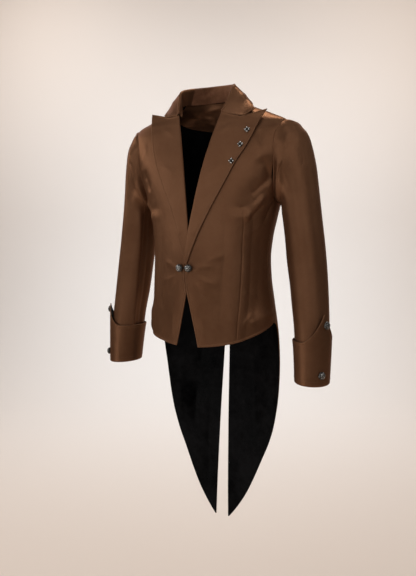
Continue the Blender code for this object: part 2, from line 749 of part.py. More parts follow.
def cuff_button_place(side, turn, height):
    """A place on the cuff's outer face, on the left arm, and the direction in which it faces."""
    away = abs((turn - CUFF_POINT_TURN + 180) % 360 - 180)
    point = max(0.0, 1 - away / CUFF_POINT_SPREAD) ** CUFF_POINT_POWER
    rise = height / (CUFF_HEIGHT + CUFF_POINT[side] * point)
    here = cuff_place(side, turn, rise)
    beside = cuff_place(side, turn + CUFF_TURN_STEP, rise)
    below = cuff_place(side, turn, rise - CUFF_RISE_STEP)
    facing = (below - here).cross(beside - here).normalized()
    if facing.x < 0:
        facing = -facing
    place = here + facing * (SLEEVE_CLOTH + SEAM_GAP)
    return Vector((side * place.x, place.y, place.z)), Vector((side * facing.x, facing.y, facing.z))


def turned(name, profile, place, direction, finish):
    """A turned piece: its profile from the axis at the top down and out, round its own Z."""
    mesh = bpy.data.meshes.new(name)
    points = [(radius, 0.0, height) for radius, height in profile]
    edges = [(index, index + 1) for index in range(len(points) - 1)]
    mesh.from_pydata(points, edges, [])
    piece = bpy.data.objects.new(name, mesh)
    COAT.objects.link(piece)
    piece.data.materials.append(finish)
    screw = piece.modifiers.new("Turn", "SCREW")
    screw.steps = BUTTON_SIDES
    screw.render_steps = BUTTON_SIDES
    screw.use_merge_vertices = True
    screw.merge_threshold = MERGE
    screw.use_smooth_shade = True
    facing = Vector(direction).normalized().to_track_quat("Z", "Y")
    piece.matrix_world = Matrix.Translation(place) @ facing.to_matrix().to_4x4()
    return piece


def button_profile(radius, dome):
    """A domed button with a rolled rim, its flat back at zero height."""
    profile = [(0.0, BUTTON_RIM + dome)]
    for step in range(1, BUTTON_STEPS + 1):
        angle = radians(90 * step / BUTTON_STEPS)
        profile.append((radius * BUTTON_SHOULDER * sin(angle), BUTTON_RIM + dome * cos(angle)))
    profile += [(radius, BUTTON_RIM), (radius, BUTTON_RIM * BUTTON_RIM_FOOT),
                (radius * BUTTON_FLAT, 0.0), (0.0, 0.0)]
    return profile


def stud(name, place, direction, finish):
    """A small cross of four pearls on a thin round base."""
    mesh = bpy.data.meshes.new(name)
    form = bmesh.new()
    bmesh.ops.create_cone(form, cap_ends=True, segments=STUD_SIDES, radius1=STUD_BASE,
                          radius2=STUD_BASE * STUD_TAPER, depth=STUD_PLATE,
                          matrix=Matrix.Translation((0, 0, STUD_PLATE / 2)))
    form.to_mesh(mesh)
    form.free()
    piece = bpy.data.objects.new(name, mesh)
    COAT.objects.link(piece)
    mesh.materials.append(finish)
    facing = Vector(direction).normalized().to_track_quat("Z", "Y")
    piece.matrix_world = Matrix.Translation(place) @ facing.to_matrix().to_4x4()
    for index in range(4):
        pearl_mesh = bpy.data.meshes.new(f"{name}_pearl_{index}")
        pearl = bmesh.new()
        bmesh.ops.create_uvsphere(pearl, u_segments=PEARL_SEGMENTS, v_segments=PEARL_RINGS,
                                  radius=STUD_PEARL)
        pearl.to_mesh(pearl_mesh)
        pearl.free()
        helper = bpy.data.objects.new(f"{name}_pearl_{index}", pearl_mesh)
        HELPERS.objects.link(helper)
        helper.hide_render = True
        helper.display_type = "WIRE"
        angle = pi / 2 * index
        offset = Matrix.Translation(
            (STUD_REACH * cos(angle), STUD_REACH * sin(angle), PEARL_RISE))
        helper.matrix_world = piece.matrix_world @ offset
        join = piece.modifiers.new(f"Pearl {index}", "BOOLEAN")
        join.operation = "UNION"
        join.object = helper
    return piece


def link_bar(name, start, end, finish):
    """The short bar that joins the two link buttons behind their domes."""
    curve = bpy.data.curves.new(name, "CURVE")
    curve.dimensions = "3D"
    curve.bevel_depth = LINK_RADIUS
    curve.bevel_resolution = 2
    curve.use_fill_caps = True
    line = curve.splines.new("POLY")
    line.points.add(1)
    for point, place in zip(line.points, (start, end)):
        point.co = (*place, 1.0)
    bar = bpy.data.objects.new(name, curve)
    COAT.objects.link(bar)
    curve.materials.append(finish)
    return bar


def front_place(breadth, height, lift):
    """A place over the front's outer face at a breadth and a height."""
    return Vector((breadth, form_y(height, breadth) - CLOTH - lift, height))


def lapel_place(breadth, height, side=1):
    """A place on the lapel's outer face, and the direction in which it faces."""
    def on_lapel(x, z):
        return Vector((x, lapel_y(z, x, LEAF_ON_LAPEL), z))

    here = on_lapel(breadth, height)
    beside, above = on_lapel(breadth + STUD_BASE, height), on_lapel(breadth, height + STUD_BASE)
    facing = (beside - here).cross(above - here).normalized()
    place = here + facing * (COLLAR_CLOTH + SEAM_GAP + STUD_SEAT)
    return Vector((side * place.x, place.y, place.z)), Vector((side * facing.x, facing.y, facing.z))


COAT = bpy.data.collections.new("Tailcoat")
HELPERS = bpy.data.collections.new("Helpers")


def build():
    """Make the coat, piece by piece."""
    clear_scene()
    bpy.context.scene.collection.children.link(COAT)
    bpy.context.scene.collection.children.link(HELPERS)

    def cloth(name):
        return material(name, BROWN, BROWN_ROUGHNESS)

    def black(name):
        return material(name, BLACK, BLACK_ROUGHNESS)

    def silver(name):
        return material(name, SILVER, SILVER_ROUGHNESS, 1.0)

    for side, word in ((1, "left"), (-1, "right")):
        wall(f"front_{word}", front_grid(side), CLOTH, cloth(f"front_{word}"), side=side)
        wall(f"back_{word}", back_grid(), CLOTH, cloth(f"back_{word}"), side=side)
        wall(f"lining_{word}", lining_grid(), LINING_CLOTH, black(f"lining_{word}"), side=side)
        wall(f"lapel_{word}", lapel_grid(side), COLLAR_CLOTH, cloth(f"lapel_{word}"), side=side)
        seam = degrees(SEAM_GAP / 2 / SLEEVE_RADIUS)
        wall(f"top_sleeve_{word}",
             sleeve_grid(FRONT_SEAM_TURN - 360 + seam, HIND_SEAM_TURN - seam,
                         TOP_SLEEVE_COLUMNS),
             SLEEVE_CLOTH, cloth(f"top_sleeve_{word}"), side=side)
        wall(f"under_sleeve_{word}",
             sleeve_grid(HIND_SEAM_TURN + seam, FRONT_SEAM_TURN - seam, UNDER_SLEEVE_COLUMNS),
             SLEEVE_CLOTH, cloth(f"under_sleeve_{word}"), side=side)
        wall(f"cuff_{word}", cuff_grid(side), SLEEVE_CLOTH, cloth(f"cuff_{word}"),
             closed=True, side=side)

    wall("collar_leaf", collar_leaf_grid(), COLLAR_CLOTH, cloth("collar_leaf"))
    wall("collar_stand", collar_stand_grid(), COLLAR_CLOTH, cloth("collar_stand"))
    wall("neck_facing", facing_grid(), FACING_CLOTH, cloth("neck_facing"))

    profile = button_profile(BUTTON_RADIUS, BUTTON_DOME)
    for button in LINK_BUTTONS:
        place = front_place(button.breadth, button.height, LINK_SEAT)
        turned(button.name, profile, place, (LINK_TILT * button.breadth, -1.0, 0.0),
               silver(button.name))
    ends = [front_place(button.breadth, button.height, LINK_SEAT - LINK_RADIUS - SEAM_GAP)
            for button in LINK_BUTTONS]
    link_bar("link_bar", ends[0], ends[1], silver("link_bar"))
    for side, word in ((1, "left"), (-1, "right")):
        for button in CUFF_BUTTONS:
            name = f"cuff_button_{button.name}_{word}"
            place, facing = cuff_button_place(side, button.turn, button.rise)
            turned(name, profile, place, facing, silver(name))
    for number, item in enumerate(STUDS, start=1):
        place, facing = lapel_place(item.breadth, item.height)
        stud(f"lapel_stud_{number}", place, facing, silver(f"lapel_stud_{number}"))


if __name__ == "__main__":
    build()
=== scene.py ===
"""The looks of a brown tailcoat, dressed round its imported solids.

Metres, +Z up. The wearer faces -Y and the wearer's left arm is at +X. Each cloth piece is a thin
shell on the coat's own form, drawn on the wearer's left and mirrored for the right.
"""

import logging
import math
from dataclasses import dataclass, field
from enum import Enum
from typing import Any, Callable, Generic, Mapping, NamedTuple, Sequence, TypeVar

import bpy
import numpy as np
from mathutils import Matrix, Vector


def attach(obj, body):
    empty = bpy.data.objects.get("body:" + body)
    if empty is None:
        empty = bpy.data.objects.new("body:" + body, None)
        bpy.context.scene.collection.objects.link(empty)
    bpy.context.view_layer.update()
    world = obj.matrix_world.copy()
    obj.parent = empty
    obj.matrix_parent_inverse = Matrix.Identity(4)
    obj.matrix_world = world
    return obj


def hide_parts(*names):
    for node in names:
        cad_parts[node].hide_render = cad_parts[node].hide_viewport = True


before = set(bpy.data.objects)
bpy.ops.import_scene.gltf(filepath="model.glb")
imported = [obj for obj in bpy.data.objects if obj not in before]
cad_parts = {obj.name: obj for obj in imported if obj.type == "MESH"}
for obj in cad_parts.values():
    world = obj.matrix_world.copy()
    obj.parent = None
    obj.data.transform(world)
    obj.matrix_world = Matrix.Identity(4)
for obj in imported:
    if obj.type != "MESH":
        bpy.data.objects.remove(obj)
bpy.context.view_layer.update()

LOG = logging.getLogger("tailcoat")
Array = np.ndarray
Material, Object = bpy.types.Material, bpy.types.Object
Span = tuple[float, float]
Triple = tuple[float, float, float]
Faces = list[list[int]]
Line = tuple[Array, Array]
T = TypeVar("T")

# Cloth and layers
CLOTH = 0.002
SLEEVE_CLOTH = 0.0018
LINING_CLOTH = 0.0008
FACING_CLOTH = 0.0012
LAYER = 0.0004

# Heights of the cut
SHOULDER_TIP = -0.06
ARMPIT = -0.248
CUTAWAY_TOP = -0.474
FRONT_TIP = -0.606
FRONT_TIP_X = 0.03
SIDE_HEM = -0.55
HEM_LEVEL = -0.427
TAIL_TIP = -1.118
BACK_NECK = 0.014
FRONT_NECK = -0.004
GORGE = -0.03
LAPEL_LOW = -0.402
ARMHOLE_FRONT = 0.045
ARMHOLE_BACK = 0.074
ARMHOLE_MIDDLE = (SHOULDER_TIP + ARMPIT) / 2
ARMHOLE_HALF = (SHOULDER_TIP - ARMPIT) / 2
HEM_EVEN_SHARE = 0.18
HEM_POWER = 2.1


class Section(NamedTuple):
    """A level section of the coat's body, widest at side_y, with depths measured from there."""

    height: Any
    half_width: Any
    side_y: Any
    front_depth: Any
    back_depth: Any
    front_power: Any
    back_power: Any

    def half(self, back: Array) -> tuple[Array, Array]:
        """The depth and the power of its front or its back half."""
        return (np.where(back, self.back_depth, self.front_depth),
                np.where(back, self.back_power, self.front_power))


SECTIONS = (
    Section(0.016, 0.074, 0.018, 0.048, 0.073, 1.9, 2.1),
    Section(-0.002, 0.0815, 0.017, 0.053, 0.079, 1.9, 2.1),
    Section(-0.022, 0.125, 0.013, 0.053, 0.088, 1.8, 2.1),
    Section(-0.042, 0.174, 0.008, 0.053, 0.099, 1.8, 2.2),
    Section(-0.06, 0.21, 0.005, 0.055, 0.108, 1.9, 2.3),
    Section(-0.08, 0.22, 0.006, 0.061, 0.113, 2.1, 2.5),
    Section(-0.115, 0.2165, 0.011, 0.075, 0.116, 2.3, 2.6),
    Section(-0.15, 0.2095, 0.017, 0.089, 0.114, 2.4, 2.6),
    Section(-0.19, 0.1985, 0.023, 0.103, 0.107, 2.3, 2.6),
    Section(-0.24, 0.183, 0.026, 0.114, 0.099, 2.1, 2.6),
    Section(-0.29, 0.171, 0.024, 0.119, 0.093, 1.9, 2.6),
    Section(-0.34, 0.162, 0.02, 0.122, 0.088, 1.8, 2.6),
    Section(-0.39, 0.158, 0.018, 0.125, 0.085, 1.75, 2.6),
    Section(-0.44, 0.1605, 0.018, 0.126, 0.087, 1.75, 2.6),
    Section(-0.5, 0.168, 0.019, 0.126, 0.093, 1.75, 2.6),
    Section(-0.56, 0.1765, 0.022, 0.129, 0.092, 1.75, 2.6),
    Section(-0.63, 0.182, 0.03, 0.138, 0.081, 1.75, 2.5),
    Section(-0.72, 0.188, 0.045, 0.11, 0.059, 1.75, 2.3),
    Section(-0.82, 0.195, 0.056, 0.1, 0.04, 1.75, 2.2),
    Section(-0.92, 0.205, 0.064, 0.09, 0.026, 1.75, 2.0),
    Section(-1.02, 0.22, 0.067, 0.08, 0.018, 1.75, 2.0),
    Section(-1.13, 0.24, 0.068, 0.07, 0.014, 1.75, 2.0),
)


class EdgePlace(NamedTuple):
    """How far an edge lies from the middle of the coat at a height."""

    height: float
    breadth: float


def edge_places(*rows: Span) -> tuple[EdgePlace, ...]:
    """The places of an edge, from rows of a height and a breadth."""
    return tuple(EdgePlace(*row) for row in rows)


FRONT_EDGE = edge_places(
    (-0.002, 0.08), (-0.012, 0.074), (-0.03, 0.065), (-0.06, 0.056), (-0.09, 0.0475),
    (-0.12, 0.04), (-0.15, 0.033), (-0.2, 0.023), (-0.26, 0.0125), (-0.31, 0.0045),
    (-0.34, 0.0003))
MEETING_EDGE = edge_places(
    (-0.34, 0.0), (-0.37, 0.003), (-0.42, 0.006), (-0.45, 0.0035), (CUTAWAY_TOP, 0.0))
LAPEL_EDGE = edge_places(
    (LAPEL_LOW, 0.003), (-0.36, 0.018), (-0.32, 0.033), (-0.28, 0.051), (-0.24, 0.071),
    (-0.2, 0.092), (-0.16, 0.112), (-0.12, 0.136), (-0.08, 0.154))
TAIL_EDGE = edge_places(
    (-0.556, 0.1755), (-0.64, 0.175), (-0.7, 0.172), (-0.76, 0.167), (-0.82, 0.158),
    (-0.88, 0.142), (-0.94, 0.118), (-1.0, 0.093), (-1.04, 0.074), (-1.08, 0.05), (-1.105, 0.032),
    (TAIL_TIP, 0.0215))
VENT_TOP = -0.42
VENT_HALF_AT_TIP = 0.0185
VENT_POWER = 0.8


class CollarStation(NamedTuple):
    """The collar's neck seam, fold and outer edge at a share of the way round from the back."""

    round_share: float
    seam: Triple
    fold: Triple
    edge: Triple


COLLAR = (
    CollarStation(0.0, (0.0, 0.089, 0.015), (0.0, 0.0855, 0.058), (0.0, 0.111, -0.002)),
    CollarStation(0.25, (0.042, 0.077, 0.012), (0.03, 0.0765, 0.056), (0.052, 0.102, -0.004)),
    CollarStation(0.5, (0.062, 0.056, 0.008), (0.048, 0.048, 0.0495), (0.086, 0.07, -0.006)),
    CollarStation(0.7, (0.074, 0.024, 0.003), (0.062, 0.02, 0.043), (0.105, 0.033, -0.008)),
    CollarStation(0.85, (0.0755, 0.001, -0.004), (0.074, -0.005, 0.033), (0.118, 0.003, -0.0145)),
    CollarStation(1.0, (0.059, -0.031, -0.036), (0.0625, -0.0345, -0.0315), (0.1445, -0.02, -0.0335)),
)
RIGHT_CORNER = (0.105, -0.02, -0.031)


class SleeveRing(NamedTuple):
    """A ring of the sleeve, between its outer and its inner point and as deep as half_depth."""

    outer_x: Any
    outer_z: Any
    inner_x: Any
    inner_z: Any
    middle_y: Any
    half_depth: Any


SLEEVE = (
    SleeveRing(0.232, -0.0685, 0.19, -0.255, 0.026, 0.059),
    SleeveRing(0.249, -0.088, 0.193, -0.26, 0.033, 0.06),
    SleeveRing(0.259, -0.12, 0.195, -0.266, 0.038, 0.06),
    SleeveRing(0.267, -0.16, 0.1965, -0.274, 0.042, 0.06),
    SleeveRing(0.2735, -0.21, 0.1985, -0.287, 0.045, 0.0595),
    SleeveRing(0.281, -0.27, 0.201, -0.31, 0.046, 0.0585),
    SleeveRing(0.2915, -0.345, 0.206, -0.356, 0.046, 0.057),
    SleeveRing(0.3005, -0.415, 0.214, -0.419, 0.043, 0.055),
    SleeveRing(0.3075, -0.485, 0.222, -0.487, 0.038, 0.053),
    SleeveRing(0.313, -0.555, 0.2325, -0.555, 0.031, 0.0505),
    SleeveRing(0.316, -0.62, 0.2385, -0.618, 0.026, 0.0485),
    SleeveRing(0.3175, -0.689, 0.242, -0.685, 0.02, 0.047),
)
SLEEVE_LENGTH = 0.7425
SHARE_PER_METRE = 1.0 / SLEEVE_LENGTH
FRONT_SEAM_TURN = 306.0
HIND_SEAM_TURN = 180.0

# Spacing of a grid's lines beside a stitched edge, a seam and a roll, and how cloth ends there
EDGE_LANES = (0.0, 0.0003, 0.0008, 0.0016, 0.003, 0.0046, 0.0055, 0.0063, 0.0072, 0.009)
SEAM_LANES = (0.0, 0.0004, 0.001, 0.0022)
ROLL_LANES = (0.0, 0.001)
EDGE_ROLL = 0.0014
EDGE_LEAST = 0.22
SEAM_LEAST = 0.72
TURNED_EXTRA = 0.0004
STITCH_INSET = 0.006
GROOVE_DEPTH = 0.0006
GROOVE_WIDTH = 0.0009
LEAST_CLOTH = 0.0003
FREE_FADE = 0.004
TURNED_RISE = 0.001
TURNED_FADE = 0.0015
WEAR_WIDTH = 0.0028

# Points along a row by which its length is measured, and a height above all of the coat
DENSE = 61
ALL_HEIGHTS = 9.0


class Side(Enum):
    """The wearer's side that a piece is on."""

    LEFT = 1
    RIGHT = -1

    @property
    def word(self) -> str:
        """The side's name in a piece's name."""
        return self.name.lower()


class Pair(NamedTuple, Generic[T]):
    """What the wearer's left and right sides have."""

    left: T
    right: T

    def of(self, side: Side) -> T:
        """What a side has."""
        return self.left if side is Side.LEFT else self.right


class Edge(Enum):
    """The four edges of a grid of cloth."""

    LOW = "low"
    HIGH = "high"
    FIRST = "first"
    LAST = "last"


def unit(vectors: Array) -> Array:
    """Vectors brought to length one."""
    length = np.linalg.norm(vectors, axis=-1, keepdims=True)
    return vectors / np.where(length > 1e-12, length, 1.0)


def eased(value: Array) -> Array:
    """A smooth step from 0 at 0 to 1 at 1."""
    value = np.clip(value, 0.0, 1.0)
    return value * value * (3 - 2 * value)


def cosine(turn: Array) -> Array:
    """The cosine of a turn in degrees."""
    return np.cos(np.radians(turn))


def sine(turn: Array) -> Array:
    """The sine of a turn in degrees."""
    return np.sin(np.radians(turn))


def lerp(start: Array, stop: Array, share: Array) -> Array:
    """The place at a share of the way from one point to another."""
    return start + (stop - start) * share


def run_along(points: Array, axis: int) -> Array:
    """How far each point lies from the first, along the lines of points down an axis."""
    steps = np.linalg.norm(np.diff(points, axis=axis), axis=-1)
    return np.insert(np.cumsum(steps, axis), 0, 0.0, axis)


def at_run(place: Array, run: Array, points: Array) -> Array:
    """What a line of points has at distances along it."""
    return np.stack([np.interp(place, run, points[:, axis]) for axis in range(3)], -1)


def quads(index: Array) -> Array:
    """The faces between the points of a grid, which look outwards where its rows rise."""
    corners = index[:-1, :-1], index[:-1, 1:], index[1:, 1:], index[1:, :-1]
    return np.stack(corners, -1).reshape(-1, 4)


@dataclass
class Curve:
    """A column of a table, as a curve that doesn't overshoot between its rows."""

    keys: Sequence[float] | Array
    values: Sequence[float] | Array
    slopes: Array = field(init=False)

    def __post_init__(self) -> None:
        """Sort the rows and find the slope at each."""
        order = np.argsort(self.keys)
        self.keys = np.asarray(self.keys, float)[order]
        self.values = np.asarray(self.values, float)[order]
        rises = np.diff(self.values) / np.diff(self.keys)
        before, after = rises[:-1], rises[1:]
        total = np.where(np.abs(before + after) > 0, before + after, 1.0)
        inner = np.where(before * after > 0, 2 * before * after / total, 0.0)
        self.slopes = np.concatenate([rises[:1], inner, rises[-1:]])

    def at(self, place: Array) -> Array:
        """The value at a place along the keys.

        Args:
            place: one key, or an array of keys.

        Returns:
            The values there, in the same shape.
        """
        place = np.clip(np.asarray(place, float), self.keys[0], self.keys[-1])
        index = np.clip(np.searchsorted(self.keys, place, side="right") - 1, 0, len(self.keys) - 2)
        span = self.keys[index + 1] - self.keys[index]
        share = (place - self.keys[index]) / span
        rest = 1 - share
        return (self.values[index] * rest * rest * (1 + 2 * share)
                + self.values[index + 1] * share * share * (1 + 2 * rest)
                + span * share * rest * (self.slopes[index] * rest - self.slopes[index + 1] * share))


def curve_of(rows: Sequence[Any], key: str, column: str) -> Curve:
    """The curve through a column of a table of named rows."""
    return Curve([getattr(row, key) for row in rows], [getattr(row, column) for row in rows])


@dataclass(frozen=True)
class Spacing:
    """Where the lines of a grid lie between two edges, closer together beside each."""

    count: int
    low: tuple[float, ...] = SEAM_LANES
    high: tuple[float, ...] = SEAM_LANES

    def places(self, length: Array) -> Array:
        """Distances of the lines from the low edge.

        Args:
            length: the distance between the edges, or an array of such distances.

        Returns:
            The distances, along a new last axis.
        """
        length = np.asarray(length, float)[..., None]
        low, high = np.array(self.low), np.array(self.high)[::-1]
        scale = np.minimum(1.0, length / (2 * (low[-1] + high[0])))
        start, stop = low[-1] * scale, length - high[0] * scale
        inner = np.linspace(0.0, 1.0, self.count + 2)[1:-1]
        return np.concatenate([low * scale, start + (stop - start) * inner,
                               length - high * scale], axis=-1)

    def shares(self, length: Array) -> Array:
        """The places as shares of the distance between the edges."""
        return self.places(length) / np.asarray(length, float)[..., None]


@dataclass
class Torso:
    """The form of the coat's body and tails, in level sections."""

    sections: tuple[Section, ...] = SECTIONS
    curves: dict[str, Curve] = field(init=False)
    front_edge: Curve = field(init=False)
    meeting_edge: Curve = field(init=False)
    tail_edge: Curve = field(init=False)

    def __post_init__(self) -> None:
        """Make the curves of the tables."""
        self.curves = {name: curve_of(self.sections, "height", name)
                       for name in Section._fields[1:]}
        self.front_edge = curve_of(FRONT_EDGE, "height", "breadth")
        self.meeting_edge = curve_of(MEETING_EDGE, "height", "breadth")
        self.tail_edge = curve_of(TAIL_EDGE, "height", "breadth")

    def at(self, height: Array) -> Section:
        """The section at a height."""
        return Section(height, *(curve.at(height) for curve in self.curves.values()))

    def point(self, height: Array, turn: Array) -> Array:
        """Points of the form. The turn is 0 at the front, 90 at the side and 180 at the back."""
        height, turn = np.broadcast_arrays(np.asarray(height, float), np.asarray(turn, float))
        section = self.at(height)
        depth, power = section.half(turn > 90.0)
        across, along = sine(turn), np.abs(cosine(turn))
        x = section.half_width * np.sign(across) * np.abs(across) ** (2 / power)
        out = np.where(turn > 90.0, depth, -depth) * along ** (2 / power)
        return np.stack([x, section.side_y + out, height], axis=-1)

    def turn_of_breadth(self, height: Array, breadth: Array, back: bool = False) -> Array:
        """The turn at which the front or the back has a breadth."""
        section = self.at(height)
        _, power = section.half(back)
        share = np.clip(np.abs(breadth) / section.half_width, 0.0, 1.0)
        turn = np.degrees(np.arcsin(share ** (power / 2))) * np.where(breadth >= 0, 1.0, -1.0)
        return 180.0 - turn if back else turn

    def side_turn(self, height: Array, back: bool = False) -> Array:
        """The turn of a panel's side edge, on its seam or round the armhole."""
        inside = np.clip(1 - ((height - ARMHOLE_MIDDLE) / ARMHOLE_HALF) ** 2, 0.0, 1.0)
        reach = (ARMHOLE_BACK if back else ARMHOLE_FRONT) * np.sqrt(inside)
        depth, power = self.at(height).half(back)
        turn = 90.0 - np.degrees(np.arcsin(np.clip((reach / depth) ** (power / 2), 0.0, 1.0)))
        return 180.0 - turn if back else turn

    def front_y(self, height: Array, breadth: Array, clearance: Array = 0.0) -> Array:
        """The depth of the front at a breadth, on a form that may be wider by a clearance."""
        section = self.at(height)
        share = np.clip(np.abs(breadth) / (section.half_width + clearance), 0.0, 1.0)
        power = section.front_power
        return section.side_y - section.front_depth * (1 - share ** power) ** (1 / power)

    def breadth_at(self, height: Array, y: Array) -> Array:
        """The breadth of the form at a height and a depth."""
        section = self.at(height)
        depth, power = section.half(y > section.side_y)
        share = np.clip(np.abs(y - section.side_y) / depth, 0.0, 1.0)
        return section.half_width * (1 - share ** power) ** (1 / power)

    def run(self, height: Array, first: Array, last: Array) -> tuple[Array, Array]:
        """The turns along level rows and how far along the row each lies."""
        steps = np.linspace(0.0, 1.0, DENSE)
        turn = first[..., None] + (last - first)[..., None] * steps
        return turn, run_along(self.point(height[..., None], turn), first.ndim)

    def along(self, height: Array, first: Array, last: Array, share: Array) -> Array:
        """Points at shares of the way along level rows.

        Args:
            height: the height of each point's row.
            first: the turn at which the row starts.
            last: the turn at which it ends.
            share: how far along the row the point lies, from 0 to 1.

        Returns:
            The points, one for each share.
        """
        height, first, last, share = np.broadcast_arrays(height, first, last, share)
        turn, run = self.run(height, first, last)
        target = share * run[..., -1]
        after = np.clip((run < target[..., None]).sum(-1), 1, DENSE - 1)[..., None]

        def pick(values: Array, index: Array) -> Array:
            return np.take_along_axis(values, index, -1)[..., 0]

        low, high = pick(run, after - 1), pick(run, after)
        part = (target - low) / np.maximum(high - low, 1e-12)
        return self.point(height, lerp(pick(turn, after - 1), pick(turn, after), part))

    def front_edge_x(self, height: Array, side: Side) -> Array:
        """The breadth of a front's edge, from the hem to the neck."""
        cutaway = FRONT_TIP_X * (CUTAWAY_TOP - height) / (CUTAWAY_TOP - FRONT_TIP)
        meeting = -side.value * self.meeting_edge.at(height)
        return np.where(height >= MEETING_EDGE[0].height, self.front_edge.at(height),
                        np.where(height >= CUTAWAY_TOP, meeting, cutaway))


def normals_of(grid: Array, closed: bool = False) -> Array:
    """The outward direction at each point of a grid whose rows rise."""
    if closed:
        across = np.roll(grid, -1, axis=1) - np.roll(grid, 1, axis=1)
    else:
        across = np.gradient(grid, axis=1)
    return unit(np.cross(across, np.gradient(grid, axis=0)))


class Crease(NamedTuple):
    """A soft fold from one place of a panel to another; a negative depth is a trough."""

    from_a: float
    from_b: float
    to_a: float
    to_b: float
    width: float
    depth: float
    bow: float = 0.0
    lean: float = 0.0


Creases = tuple[Crease, ...]


def creased(*rows: tuple[float, ...]) -> Creases:
    """Creases, from rows of their values."""
    return tuple(Crease(*row) for row in rows)


@dataclass(frozen=True)
class Folds:
    """The creases of a panel, drawn in the panel's own two coordinates."""

    creases: Sequence[Crease]
    place: Callable[[Array, Array], Array]
    steps: int = 9
    reach: float = 3.0
    end_share: float = 0.15
    fade: float = 3.2
    power: float = 1.5
    uneven: float = 0.18
    swell: float = 9.0
    phase: float = 1.7

    def relief(self, points: Array, normals: Array) -> Array:
        """How far the creases move each point out.

        Args:
            points: the panel's points.
            normals: the outward direction at each.

        Returns:
            The distance for each point.
        """
        total = np.zeros(points.shape[:-1])
        for number, crease in enumerate(self.creases):
            share = np.linspace(0.0, 1.0, self.steps)
            swing = crease.bow * np.sin(np.pi * share)
            run_a, run_b = crease.to_a - crease.from_a, crease.to_b - crease.from_b
            path = self.place(crease.from_a + run_a * share - run_b * swing,
                              crease.from_b + run_b * share + run_a * swing)
            margin = crease.width * self.reach * (1 + abs(crease.lean))
            near = np.all((points > path.min(0) - margin) & (points < path.max(0) + margin), axis=-1)
            if near.any():
                total[near] += self.one(crease, number, path, points[near], normals[near])
        return total

    def on(self, grid: Array, extra: Array = 0.0, closed: bool = False) -> Array:
        """A grid with its creases, and any relief besides, pressed into it."""
        normals = normals_of(grid, closed)
        return grid + normals * (self.relief(grid, normals) + extra)[..., None]

    def one(self, crease: Crease, number: int, path: Array, points: Array, normals: Array) -> Array:
        """The relief of one crease on the points near it."""
        best = np.full(len(points), np.inf)
        along = np.zeros(len(points))
        sign = np.zeros(len(points))
        for index, (start, stop) in enumerate(zip(path, path[1:])):
            way = stop - start
            part = np.clip(((points - start) @ way) / (way @ way), 0.0, 1.0)
            offset = points - (start + part[:, None] * way)
            away = np.linalg.norm(offset, axis=-1)
            closer = away < best
            best = np.where(closer, away, best)
            along = np.where(closer, (index + part) / (len(path) - 1), along)
            beside = np.einsum("ij,ij->i", offset, np.cross(normals, unit(way)))
            sign = np.where(closer, beside, sign)
        wide = crease.width * (1 + crease.lean * np.tanh(sign / crease.width))
        fade = eased(self.end_share + self.fade * np.minimum(along, 1 - along))
        uneven = 1 + self.uneven * np.sin(self.swell * along + self.phase * number)
        return crease.depth * fade * uneven * np.exp(-(best / wide) ** self.power)


def new_piece(name: str, points: Array, faces: Sequence[Sequence[int]],
              *finishes: Material) -> Object:
    """A smooth object in the scene, with its materials."""
    mesh = bpy.data.meshes.new(name)
    mesh.from_pydata(points.tolist(), [], faces)
    for finish in finishes:
        mesh.materials.append(finish)
    mesh.shade_smooth()
    piece = bpy.data.objects.new(name, mesh)
    bpy.context.scene.collection.objects.link(piece)
    return piece


def bands(start: int, rings: int, sides: int) -> Faces:
    """The faces between rings of points, which look outwards where the rings rise."""
    faces = []
    for low in range(start, start + (rings - 1) * sides, sides):
        high = low + sides
        faces += [[low + c, low + (c + 1) % sides, high + (c + 1) % sides, high + c]
                  for c in range(sides)]
    return faces


def fan(tip: int, ring: int, sides: int) -> Faces:
    """The faces between a tip and a ring of points under it."""
    return [[tip, ring + c, ring + (c + 1) % sides] for c in range(sides)]


def turned(start: int, rings: int, sides: int) -> Faces:
    """The faces of a round form: its top, its rings from there down, and its bottom."""
    first, last = start + 1, start + 1 + (rings - 1) * sides
    below = bands(first, rings, sides) + fan(last + sides, last, sides)
    return fan(start, first, sides) + [face[:1] + face[:0:-1] for face in below]


def circles(radius: Array, turn: Array, height: Array) -> Array:
    """Points round the Z axis, at turns in radians."""
    flat = np.broadcast_arrays(radius * np.cos(turn), radius * np.sin(turn), height)
    return np.stack(flat, -1)


